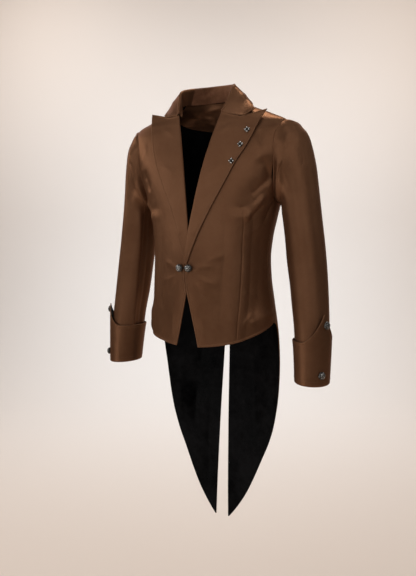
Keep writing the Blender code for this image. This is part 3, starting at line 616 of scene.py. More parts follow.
@dataclass
class Cloth:
    """One piece of cloth: a grid on its inner face, and what its edges are.

    free says below which height each turned and stitched edge runs; the others are seams. A
    sharp edge isn't rolled, and faced says how far in from an edge the inner face is of the outer
    cloth. dull_from is the row from which the dull side of the sateen shows, its
    colour made lighter than the face as painted light, and dull_inset the columns
    at each end where it doesn't, so that the painted light stops short of the darker ends.
    """

    name: str
    grid: Array
    thickness: float
    side: Side = Side.LEFT
    closed: bool = False
    free: Mapping[Edge, float] = field(default_factory=dict)
    sharp: frozenset[Edge] = frozenset()
    inset: float = STITCH_INSET
    faced: Mapping[Edge, float] = field(default_factory=dict)
    dull_from: int = 10_000
    dull_inset: int = 0

    def away(self, edge: Edge) -> Array:
        """How far each point lies from an edge, along its row or its column."""
        axis = 0 if edge in (Edge.LOW, Edge.HIGH) else 1
        run = run_along(self.grid, axis)
        if edge in (Edge.LOW, Edge.FIRST):
            return run
        return (run[-1:] if axis == 0 else run[:, -1:]) - run

    def edges(self) -> tuple[Edge, ...]:
        """The edges that the piece has: a closed one has no first or last column."""
        return (Edge.LOW, Edge.HIGH) if self.closed else tuple(Edge)

    def freedom(self, edge: Edge) -> Array:
        """1 where an edge is turned and stitched, and 0 where it is sewn to its neighbour."""
        if edge not in self.free:
            return np.zeros(self.grid.shape[:2])
        return eased((self.free[edge] - self.grid[..., 2]) / FREE_FADE)

    def depths(self) -> Array:
        """The thickness at each point: rolled at the edges, fuller where an edge is turned."""
        depth = np.full(self.grid.shape[:2], self.thickness)
        for edge in self.edges():
            away, free = self.away(edge), self.freedom(edge)
            if edge not in self.sharp:
                near = np.clip(away / EDGE_ROLL, 0.0, 1.0)
                least = lerp(SEAM_LEAST, EDGE_LEAST, free)
                depth *= least + (1 - least) * np.sqrt(1 - (1 - near) ** 2)
            depth += (free * TURNED_EXTRA * (1 - eased((away - self.inset) / TURNED_FADE))
                      * eased(away / TURNED_RISE))
            depth -= free * GROOVE_DEPTH * np.exp(-((away - self.inset) / GROOVE_WIDTH) ** 2)
        return np.maximum(depth, LEAST_CLOTH)

    def outer(self) -> Array:
        """The grid of the outer face."""
        return self.grid + normals_of(self.grid, self.closed) * self.depths()[..., None]

    def cut(self) -> Triple:
        """The width, the length and the area of the sheet laid flat."""
        across, up = np.diff(self.grid, axis=1), np.diff(self.grid, axis=0)
        if self.closed:
            across = np.roll(self.grid, -1, axis=1) - self.grid
        wide = np.linalg.norm(across, axis=-1)
        tall = np.linalg.norm(up, axis=-1)
        beside = across[:-1, :tall.shape[1]], up[:, :across.shape[1]]
        area = np.linalg.norm(np.cross(*beside), axis=-1).sum()
        return float(wide.sum(1).max()), float(tall.sum(0).max()), float(area)

    def wear(self) -> Array:
        """How close each point lies to a turned edge, from 0 to 1."""
        wear = np.zeros(self.grid.shape[:2])
        for edge in self.edges():
            wear = np.maximum(wear, self.freedom(edge) * np.exp(-self.away(edge) / WEAR_WIDTH))
        return wear

    def line(self, edge: Edge, inset: float, high: float = ALL_HEIGHTS) -> Line:
        """A line on the outer face beside an edge.

        Args:
            edge: the edge that the line follows.
            inset: how far it lies from that edge.
            high: the height at which it stops.

        Returns:
            Its points, and the outward direction at each.
        """
        away, outer, normals = self.away(edge), self.outer(), normals_of(self.grid, self.closed)
        if edge in (Edge.LOW, Edge.HIGH):
            away, outer, normals = away.T, outer.swapaxes(0, 1), normals.swapaxes(0, 1)
        if edge in (Edge.HIGH, Edge.LAST):
            away, outer, normals = away[:, ::-1], outer[:, ::-1], normals[:, ::-1]
        points, facing = [], []
        for run, line, directions in zip(away, outer, normals):
            if run[-1] <= inset:
                continue
            points.append(at_run(inset, run, line))
            facing.append(at_run(inset, run, directions))
        if self.closed:
            points.append(points[0])
            facing.append(facing[0])
        points, facing = np.array(points), unit(np.array(facing))
        inside = points[:, 2] <= high
        return points[inside], facing[inside]

    def make(self, finish: Material, inside: Material, dull: Material) -> Object:
        """The shell as a mesh, with its own measure as UV and its wear as an attribute.

        Args:
            finish: the material of the outer face and the rims.
            inside: the material of the inner face.
            dull: the material of the rows that show the dull side, made lighter than the face as
                painted light.

        Returns:
            The new object.
        """
        rows, columns = self.grid.shape[:2]
        count = rows * columns
        points = np.concatenate([self.outer().reshape(-1, 3), self.grid.reshape(-1, 3)])
        points[:, 0] *= self.side.value
        index = np.arange(count).reshape(rows, columns)
        if self.closed:
            index = np.concatenate([index, index[:, :1]], axis=1)
        faces = quads(index)
        border = [np.stack([index[0, 1:], index[0, :-1]], -1),
                  np.stack([index[-1, :-1], index[-1, 1:]], -1)]
        if not self.closed:
            border += [np.stack([index[:-1, 0], index[1:, 0]], -1),
                       np.stack([index[1:, -1], index[:-1, -1]], -1)]
        rim = np.concatenate([np.stack([pair[:, 0], pair[:, 1], pair[:, 1] + count,
                                        pair[:, 0] + count], -1) for pair in border])
        every = np.concatenate([faces, faces[:, ::-1] + count, rim])
        if self.side is Side.RIGHT:
            every = every[:, ::-1]
        piece = new_piece(self.name, points, every.tolist(), finish, inside, dull)
        mesh = piece.data
        measure = np.stack([self.away(Edge.FIRST), self.away(Edge.LOW)], -1).reshape(-1, 2)
        measure = np.concatenate([measure, measure])
        layer = mesh.uv_layers.new(name="Measure")
        layer.data.foreach_set("uv", measure[every.reshape(-1)].astype(np.float32).reshape(-1))
        wear = np.tile(self.wear().reshape(-1), 2).astype(np.float32)
        mesh.attributes.new("wear", "FLOAT", "POINT").data.foreach_set("value", wear)
        lined = np.zeros(len(every), np.int32)
        lined[len(faces):2 * len(faces)] = 1
        near = np.zeros((rows, columns), bool)
        for edge, width in self.faced.items():
            near |= self.away(edge) < width
        if near.any():
            lined[len(faces):2 * len(faces)][near.reshape(-1)[faces].any(-1)] = 0
        # Rows past the collar's fold show the dull side, coloured lighter as painted light; the end
        # columns keep the darker face.
        row, column = np.divmod(np.arange(len(faces)), index.shape[1] - 1)
        dull_painted_light_rows = (row >= self.dull_from) & (column >= self.dull_inset)
        dull_painted_light_rows &= column < index.shape[1] - 1 - self.dull_inset
        lined[:len(faces)][dull_painted_light_rows] = 2
        mesh.polygons.foreach_set("material_index", lined)
        mesh.update()
        return piece


@dataclass(frozen=True)
class Thread:
    """Topstitching: short stitches of thread sunk at both ends."""

    stitch: float = 0.0026
    gap: float = 0.0011
    radius: float = 0.0004
    sides: int = 5
    sink: float = 0.0003
    proud: float = 0.6
    rings: tuple[float, ...] = (0.0, 0.22, 0.78, 1.0)
    widths: tuple[float, ...] = (0.45, 1.0, 1.0, 0.45)

    def sew(self, name: str, lines: Sequence[Line], side: Side,
            finish: Material) -> Object:
        """One mesh of stitches along several lines.

        Args:
            name: the name of the piece.
            lines: the points of each line, with the outward direction at each point.
            side: the wearer's side for which the lines, drawn on the left, are mirrored.
            finish: the thread's material.

        Returns:
            The new object.
        """
        points: list[Array] = []
        faces: Faces = []
        count, top = len(self.rings), self.proud * self.radius
        heights = (-self.sink, top, top, -self.sink)
        turns = np.linspace(0.0, 360.0, self.sides, endpoint=False)
        for path, facing in lines:
            run = run_along(path, 0)
            for start in np.arange(self.gap, run[-1] - self.stitch, self.stitch + self.gap):
                at = start + np.array(self.rings) * self.stitch
                middle, out = at_run(at, run, path), unit(at_run(at, run, facing))
                beside = unit(np.cross(np.broadcast_to(middle[-1] - middle[0], out.shape), out))
                base = len(points) * self.sides * count
                ring = [middle[k] + out[k] * heights[k]
                        + self.radius * self.widths[k] * (np.outer(cosine(turns), beside[k])
                                                          + np.outer(sine(turns), out[k]))
                        for k in range(count)]
                points.append(np.concatenate(ring))
                faces += bands(base, count, self.sides)
                faces.append([base + c for c in range(self.sides)][::-1])
                faces.append([base + (count - 1) * self.sides + c for c in range(self.sides)])
        every = np.concatenate(points)
        every[:, 0] *= side.value
        if side is Side.RIGHT:
            faces = [face[::-1] for face in faces]
        return new_piece(name, every, faces, finish)


# Finishes


@dataclass(frozen=True)
class Graph:
    """The nodes of one material."""

    tree: bpy.types.NodeTree

    def node(self, kind: str, settings: Mapping[str, Any] | None = None,
             inputs: Mapping[int | str, Any] | None = None, output: int | str = 0) -> "Wire":
        """Add a node.

        Args:
            kind: the node's type.
            settings: its settings, made first.
            inputs: the value or the link of each socket.
            output: the socket to go on from.

        Returns:
            That output.
        """
        made = self.tree.nodes.new(kind)
        for key, value in (settings or {}).items():
            setattr(made, key, value)
        for key, value in (inputs or {}).items():
            if isinstance(value, Wire):
                self.tree.links.new(value.socket, made.inputs[key])
            else:
                made.inputs[key].default_value = value
        return Wire(self, made.outputs[output])


@dataclass(frozen=True)
class Wire:
    """A shader's socket, in sums that add their nodes as they are written."""

    graph: Graph
    socket: bpy.types.NodeSocket

    def math(self, operation: str, first: Any, second: Any = 0.0) -> "Wire":
        """A Math node on two values."""
        return self.graph.node("ShaderNodeMath", {"operation": operation}, {0: first, 1: second})

    def __add__(self, other: Any) -> "Wire":
        """This and another value."""
        return self.math("ADD", self, other)

    def __radd__(self, other: Any) -> "Wire":
        """Another value and this."""
        return self.math("ADD", other, self)

    def __sub__(self, other: Any) -> "Wire":
        """This less another value."""
        return self.math("SUBTRACT", self, other)

    def __rsub__(self, other: Any) -> "Wire":
        """Another value less this."""
        return self.math("SUBTRACT", other, self)

    def __mul__(self, other: Any) -> "Wire":
        """This times another value."""
        return self.math("MULTIPLY", self, other)

    def __rmul__(self, other: Any) -> "Wire":
        """Another value times this."""
        return self.math("MULTIPLY", other, self)

    def parts(self) -> tuple["Wire", "Wire"]:
        """The first two parts of this vector."""
        first = self.graph.node("ShaderNodeSeparateXYZ", None, {0: self})
        return first, Wire(self.graph, first.socket.node.outputs[1])

    def sine(self) -> "Wire":
        """The sine of this."""
        return self.math("SINE", self)

    def between(self, low: float, high: float) -> "Wire":
        """0 at a low value, 1 at a high one, and smooth between them."""
        return self.graph.node("ShaderNodeMapRange", {"interpolation_type": "SMOOTHSTEP"},
                               {"Value": self, "From Min": low, "From Max": high})

    def stretched(self, scale: Triple) -> "Wire":
        """This vector times another."""
        return self.graph.node("ShaderNodeVectorMath", {"operation": "MULTIPLY"},
                               {0: self, 1: scale})

    def noise(self, scale: float, detail: float = 2.0, roughness: float = 0.5) -> "Wire":
        """Noise from 0 to 1 over this vector."""
        return self.graph.node("ShaderNodeTexNoise", None,
                               {"Vector": self, "Scale": scale, "Detail": detail,
                                "Roughness": roughness}, "Fac")

    def bump(self, strength: float, distance: float, under: "Wire | None" = None) -> "Wire":
        """A normal with this as its relief, on another normal if one is given."""
        sockets = {"Strength": strength, "Distance": distance, "Height": self}
        if under is not None:
            sockets["Normal"] = under
        return self.graph.node("ShaderNodeBump", None, sockets, "Normal")

    def blend(self, first: Any, second: Any) -> "Wire":
        """A colour between two, with this as the share of the second."""
        return self.graph.node("ShaderNodeMix", {"data_type": "RGBA"},
                               {0: self, 6: first, 7: second}, 2)


def opaque(colour: Triple) -> tuple[float, float, float, float]:
    """A colour with full alpha."""
    return (*colour, 1.0)


def new_finish(name: str) -> tuple[Material, Graph, bpy.types.Node]:
    """A new material, its nodes and its shader."""
    material = bpy.data.materials.new(name)
    material.use_nodes = True
    tree = material.node_tree
    return material, Graph(tree), tree.nodes["Principled BSDF"]


def feed(graph: Graph, shader: bpy.types.Node, **sockets: Any) -> None:
    """Link or set the shader's sockets, named with _ for a space."""
    for key, value in sockets.items():
        socket = shader.inputs[key.replace("_", " ")]
        if isinstance(value, Wire):
            graph.tree.links.new(value.socket, socket)
        else:
            socket.default_value = value


@dataclass(frozen=True)
class Sateen:
    """A close-woven cloth with a soft sheen, worn lighter along its turned edges.

    slubs, broad, fine and the cockles are how many there are to a metre. tone weighs the broad
    patches, the fine ones and the slubs, and weave the twill, the yarns and the slubs.
    """

    name: str
    colour: Triple
    dark: Triple
    worn: Triple
    roughness: float
    rough_spread: float = 0.08
    sheen: float = 0.02
    sheen_tint: Triple = (0.6, 0.42, 0.28)
    edge_tint: Triple = (0.5, 0.36, 0.28)
    specular: float = 0.12
    lustre: float = 0.6
    twill: float = 0.00075
    twill_rise: float = 1.6
    yarn: float = 0.0005
    slubs: Triple = (900.0, 160.0, 1.0)
    broad: float = 7.0
    fine: float = 60.0
    small_cockle: float = 130.0
    wide_cockle: float = 38.0
    tone: Triple = (0.6, 0.25, 0.15)
    tone_span: Span = (0.34, 0.66)
    wear_least: float = 0.55
    wear_span: Span = (0.35, 0.65)
    weave: Triple = (0.5, 0.35, 0.8)
    relief: float = 0.00004
    cockle: float = 0.0003
    cloud: float = 0.12

    def make(self) -> Material:
        """The material."""
        material, graph, shader = new_finish(self.name)
        measure = graph.node("ShaderNodeUVMap", {"uv_map": "Measure"})
        across, up = measure.parts()
        place = graph.node("ShaderNodeTexCoord", None, None, "Object")
        turn = 2 * math.pi
        rib = ((across + up * self.twill_rise) * (turn / self.twill)).sine()
        weft = (across * (turn / self.yarn)).sine() * (up * (turn / self.yarn)).sine()
        slub = measure.stretched(self.slubs).noise(1.0, 1.0)
        broad = place.noise(self.broad, 3.0, 0.55)
        fine = place.noise(self.fine, 3.0, 0.6)
        wear = graph.node("ShaderNodeAttribute", {"attribute_name": "wear"}, None, "Fac")
        mixed = broad * self.tone[0] + fine * self.tone[1] + slub * self.tone[2]
        body = mixed.between(*self.tone_span).blend(opaque(self.dark), opaque(self.colour))
        rubbed = self.wear_least + (1 - self.wear_least) * fine.between(*self.wear_span)
        worn = (wear * rubbed).blend(body, opaque(self.worn))
        height = rib * self.weave[0] + weft * self.weave[1] + slub * self.weave[2]
        cockles = place.noise(self.small_cockle) + place.noise(self.wide_cockle) * 2.0
        soft = cockles.bump(0.5, self.cockle, height.bump(0.6, self.relief))
        feed(graph, shader, Base_Color=worn, Normal=soft, Metallic=self.lustre,
             Roughness=self.roughness + (fine - 0.5) * self.rough_spread + (broad - 0.5) * self.cloud,
             Sheen_Weight=self.sheen, Sheen_Roughness=0.45,
             Sheen_Tint=opaque(self.sheen_tint), Specular_IOR_Level=self.specular,
             Specular_Tint=opaque(self.edge_tint))
        return material


@dataclass(frozen=True)
class Antique:
    """Old silver: bright on its crowns and black in its hollows."""

    name: str = "antique silver"
    bright: Triple = (0.78, 0.76, 0.73)
    dull: Triple = (0.32, 0.31, 0.3)
    hollow: Triple = (0.018, 0.016, 0.013)
    roughness: float = 0.22
    hollow_rough: float = 0.28
    pits: float = 0.00005
    cloud: float = 260.0
    grain: float = 1800.0
    crown_span: Span = (0.3, 0.85)
    cloud_span: Span = (0.35, 0.65)
    grain_span: Span = (0.3, 0.6)
    least_crown: float = 0.75
    least_metal: float = 0.55

    def make(self) -> Material:
        """The material."""
        material, graph, shader = new_finish(self.name)
        relief = graph.node("ShaderNodeAttribute", {"attribute_name": "relief"}, None, "Fac")
        place = graph.node("ShaderNodeTexCoord", None, None, "Object")
        cloud, grain = place.noise(self.cloud, 3.0), place.noise(self.grain, 3.0)
        crown = relief.between(*self.crown_span)
        metal = cloud.between(*self.cloud_span).blend(opaque(self.dull), opaque(self.bright))
        clean = self.least_crown + (1 - self.least_crown) * grain.between(*self.grain_span)
        colour = (crown * clean).blend(opaque(self.hollow), metal)
        feed(graph, shader, Base_Color=colour, Normal=grain.bump(0.35, self.pits),
             Metallic=self.least_metal + (1 - self.least_metal) * crown,
             Roughness=self.roughness + self.hollow_rough * (1 - crown) + (grain - 0.5) * 0.15)
        return material


@dataclass(frozen=True)
class Paper:
    """The studio's seamless cream paper, with painted light darkening away from its middle."""

    centre: Triple
    # middle and far: the paper's colour in its painted pool of light and away from it.
    middle: Triple = (0.97, 0.95, 0.94)
    far: Triple = (0.74, 0.63, 0.55)
    reach: Span = (0.2, 3.8)
    tooth: float = 220.0
    tooth_rise: float = 0.0005

    def make(self) -> Material:
        """The material."""
        material, graph, shader = new_finish("seamless paper")
        place = graph.node("ShaderNodeTexCoord", None, None, "Object")
        away = graph.node("ShaderNodeVectorMath", {"operation": "DISTANCE"},
                          {0: place, 1: self.centre}, "Value")
        # Painted fall-off of light: the paper darkens with distance from its middle.
        colour = away.between(*self.reach).blend(opaque(self.middle), opaque(self.far))
        tooth = place.noise(self.tooth).bump(0.1, self.tooth_rise)
        feed(graph, shader, Base_Color=colour, Roughness=0.95, Normal=tooth,
             Specular_IOR_Level=0.1)
        return material


class Slot(Enum):
    """The names of the coat's materials."""

    BROWN = "brown_cloth"
    LINING = "black_lining"
    SILVER = "antique_silver"


class Held(Enum):
    """How a piece of cloth is held."""

    DRAPED = "draped"
    HUNG = "hung"
    FOLDED = "folded"
    LAID = "laid"


@dataclass
class Finishes:
    """The coat's materials."""

    brown: Material = field(init=False)
    # dull: the sateen's dull back, its colour made lighter than the face as painted light on the
    # collar's inside.
    dull: Material = field(init=False)
    lining: Material = field(init=False)
    thread: Material = field(init=False)
    silver: Material = field(init=False)

    def __post_init__(self) -> None:
        """Make them."""
        self.brown = Sateen("brown sateen", (0.165, 0.078, 0.041), (0.138, 0.063, 0.032),
                            (0.19, 0.094, 0.051), 0.37).make()
        # The dull back of the sateen, coloured lighter than the face: painted light on the collar's
        # inside.
        self.dull = Sateen("dull side of the brown sateen", (0.25, 0.112, 0.062),
                           (0.12, 0.052, 0.027), (0.3, 0.14, 0.08), 0.6, sheen=0.1,
                           lustre=0.0).make()
        self.lining = Sateen("black lining satin", (0.0085, 0.0083, 0.009),
                             (0.0003, 0.0003, 0.0004), (0.008, 0.0077, 0.008), 0.42,
                             sheen=0.0, specular=0.022, lustre=0.0, twill=0.0006,
                             cockle=0.0004, cloud=1.3, edge_tint=(1.0, 1.0, 1.0)).make()
        self.thread = Sateen("topstitch thread", (0.21, 0.106, 0.056), (0.15, 0.072, 0.037),
                             (0.2, 0.1, 0.05), 0.5, twill=0.0003, relief=0.00002).make()
        self.silver = Antique().make()


def hang(cloth: Cloth, node: str, finishes: Finishes, lines: Sequence[Line] = (),
         slot: Slot = Slot.BROWN) -> Object:
    """Make a piece of cloth with its topstitching, in the place of its solid.

    Args:
        cloth: the sheet.
        node: the solid that it stands for.
        finishes: the coat's materials.
        lines: its lines of topstitching.
        slot: which cloth it is; the lining slot gives it the lining as its outer finish.

    Returns:
        The new object.
    """
    outer = finishes.lining if slot is Slot.LINING else finishes.brown
    piece = cloth.make(outer, finishes.lining, finishes.dull)
    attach(piece, "root")
    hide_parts(node)
    if lines:
        thread = Thread().sew(f"{cloth.name}_topstitch", lines, cloth.side, finishes.thread)
        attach(thread, "root")
    width, length, area = cloth.cut()
    LOG.info("%s: cut %.3f x %.3f m, %.4f m2", cloth.name, width, length, area)
    return piece


# Body

ARMHOLE_ROWS = 54
SHOULDER_ROWS = 42


def body_heights(low: float, high: float, count: int) -> Array:
    """Heights of a panel's rows; beside the armhole they lie at even turns round it."""
    armhole = ARMHOLE_MIDDLE - ARMHOLE_HALF * cosine(np.linspace(0, 180, ARMHOLE_ROWS + 1))
    skirt = low + Spacing(count, EDGE_LANES, (0.0,)).places(ARMPIT - low)
    above = Spacing(SHOULDER_ROWS, (0.0,), SEAM_LANES).places(high - SHOULDER_TIP)
    return np.concatenate([skirt[:-1], armhole, SHOULDER_TIP + above[1:]])


@dataclass(frozen=True)
class SeamLine:
    """A seam drawn down a panel, as breadths at heights, fading out at both ends."""

    rows: Sequence[EdgePlace]
    groove: float = 0.0009
    width: float = 0.0016
    fade: float = 0.03
    ridge: float = 0.0
    reach_in: float = 0.045
    reach_out: float = 0.024

    def breadth(self, height: Array) -> Array:
        """The seam's breadth at a height."""
        return curve_of(self.rows, "height", "breadth").at(height)

    def relief(self, grid: Array, column: int) -> Array:
        """The groove along a column of a grid, on the crest of a low ridge."""
        run = run_along(grid, 1)
        away = run - run[:, column:column + 1]
        heights = grid[:, column, 2][:, None]
        low, high = min(row.height for row in self.rows), max(row.height for row in self.rows)
        inside = eased((heights - low) / self.fade + 1) * eased((high - heights) / self.fade)
        slope = np.clip(1 - np.abs(away) / np.where(away < 0, self.reach_in, self.reach_out), 0, 1)
        crest = self.ridge * slope * (1 + slope * (1 - slope))
        return inside * (crest - self.groove * np.exp(-(away / self.width) ** 2))


@dataclass
class Fronts:
    """The two fronts, from the neck and the roll line down to the cutaway hem."""

    torso: Torso
    finishes: Finishes
    rows: int = 124
    columns: tuple[int, int] = (46, 38)
    facing: float = 0.06
    stitch_top: float = -0.425
    least_turn: float = 3.0
    dart: SeamLine = SeamLine(edge_places(
        (-0.6, 0.1165), (-0.5745, 0.1173), (-0.496, 0.1207), (-0.429, 0.1211), (-0.362, 0.1222),
        (-0.295, 0.1258), (-0.262, 0.124)), groove=0.0012, ridge=0.0052)
    most_share: float = 0.6
    creases: Creases = creased(
        (0.125, -0.268, 0.1175, -0.6, 0.01, -0.0015),
        (0.127, -0.3, 0.172, -0.236, 0.0095, 0.0048, 0.04, 0.3),
        (0.1865, -0.228, 0.158, -0.308, 0.011, -0.0048),
        (0.153, -0.3, 0.149, -0.56, 0.026, -0.003),
        (0.182, -0.53, 0.133, -0.552, 0.014, 0.0026, -0.05))
    fine_left: Creases = creased(
        (0.17, -0.148, 0.188, -0.205, 0.016, -0.0065),
        (0.19, -0.195, 0.144, -0.238, 0.01, -0.0048, -0.05),
        (0.128, -0.266, 0.129, -0.292, 0.0034, 0.0014),
        (0.1225, -0.262, 0.1235, -0.284, 0.0034, -0.0014),
        (0.132, -0.306, 0.164, -0.262, 0.0045, -0.0012, 0.06),
        (0.144, -0.262, 0.173, -0.226, 0.005, -0.0016, 0.08),
        (0.128, -0.33, 0.156, -0.31, 0.005, 0.0009, -0.05),
        (0.125, -0.47, 0.153, -0.487, 0.006, 0.0009, 0.06),
        (0.148, -0.52, 0.182, -0.533, 0.006, 0.0014, -0.08),
        (0.127, -0.56, 0.148, -0.522, 0.0055, 0.0012, 0.08),
        (0.046, -0.4, 0.09, -0.38, 0.009, 0.001, 0.05),
        (0.015, -0.418, 0.07, -0.408, 0.007, 0.0011, 0.08),
        (0.016, -0.43, 0.08, -0.452, 0.008, 0.0011, -0.06),
        (0.02, -0.446, 0.056, -0.486, 0.008, -0.0009, -0.05),
        (0.035, -0.52, 0.042, -0.6, 0.011, 0.0013, 0.05),
        (0.076, -0.5, 0.082, -0.59, 0.013, 0.0014, -0.04),
        (0.15, -0.11, 0.176, -0.15, 0.008, 0.0012, 0.08),
        (0.13, -0.075, 0.165, -0.1, 0.009, -0.001, 0.06))
    fine_right: Creases = creased(
        (0.166, -0.165, 0.14, -0.224, 0.014, -0.0042),
        (0.182, -0.15, 0.17, -0.158, 0.0036, -0.0012),
        (0.164, -0.184, 0.15, -0.19, 0.0036, -0.0014),
        (0.148, -0.216, 0.136, -0.216, 0.0036, -0.0012),
        (0.13, -0.3, 0.162, -0.256, 0.005, -0.0013, 0.05),
        (0.142, -0.27, 0.17, -0.238, 0.005, -0.0014, 0.1),
        (0.126, -0.335, 0.152, -0.318, 0.006, 0.0009, -0.05),
        (0.026, -0.42, 0.075, -0.398, 0.008, 0.0011, 0.07),
        (0.024, -0.43, 0.086, -0.446, 0.008, 0.0011, -0.06),
        (0.026, -0.442, 0.062, -0.48, 0.008, -0.0009, -0.05),
        (0.04, -0.51, 0.044, -0.59, 0.011, 0.0013, 0.04),
        (0.082, -0.506, 0.086, -0.592, 0.013, 0.0014, -0.05),
        (0.13, -0.51, 0.16, -0.528, 0.006, 0.0012, -0.06),
        (0.148, -0.116, 0.174, -0.146, 0.008, 0.0012, 0.06),
        (0.126, -0.08, 0.16, -0.11, 0.009, -0.001, 0.05))

    def hem_rise(self, share: Array) -> Array:
        """How far the hem has risen above its tip at a share of the way to the side."""
        rise = HEM_EVEN_SHARE * share + (1 - HEM_EVEN_SHARE) * share ** HEM_POWER
        return (SIDE_HEM - FRONT_TIP) * rise

    def grid(self, side: Side) -> Array:
        """The sheet of one front, on the wearer's left whichever side it is for."""
        torso, start = self.torso, body_heights(FRONT_TIP, FRONT_NECK, self.rows)
        edge = torso.front_edge_x(start, side)
        last = torso.side_turn(start)
        first = np.minimum(torso.turn_of_breadth(start, edge), last - self.least_turn)
        seam = np.minimum(torso.turn_of_breadth(start, self.dart.breadth(start)),
                          lerp(first, last, self.most_share))
        length = torso.run(start, first, last)[1][:, -1]
        inner = torso.run(start, first, seam)[1][:, -1]
        near = Spacing(self.columns[0], EDGE_LANES, SEAM_LANES).places(inner)
        far = Spacing(self.columns[1]).places(length - inner) + inner[:, None]
        share = np.concatenate([near, far[:, 1:]], 1) / length[:, None]
        fade = np.clip(1 - (start - FRONT_TIP) / (HEM_LEVEL - FRONT_TIP), 0.0, 1.0)[:, None]
        height = start[:, None] + self.hem_rise(share) * fade
        inner = torso.turn_of_breadth(height, np.broadcast_to(edge[:, None], height.shape))
        outer = torso.side_turn(height)
        grid = torso.along(height, np.minimum(inner, outer - self.least_turn), outer, share)
        folds = Folds(self.creases + (self.fine_left if side is Side.LEFT else self.fine_right),
                      lambda x, z: np.stack([x, torso.front_y(z, x), z], -1))
        return folds.on(grid, self.dart.relief(grid, near.shape[1] - 1))

    def build(self) -> None:
        """Make both fronts."""
        for side in Side:
            cloth = Cloth(f"front_cloth_{side.word}", self.grid(side), CLOTH, side,
                          free={Edge.LOW: ALL_HEIGHTS, Edge.FIRST: LAPEL_LOW},
                          faced={Edge.FIRST: self.facing, Edge.LOW: self.facing / 2})
            lines = [cloth.line(Edge.LOW, STITCH_INSET),
                     cloth.line(Edge.FIRST, STITCH_INSET, high=self.stitch_top)]
            hang(cloth, f"front_{side.word}", self.finishes, lines)


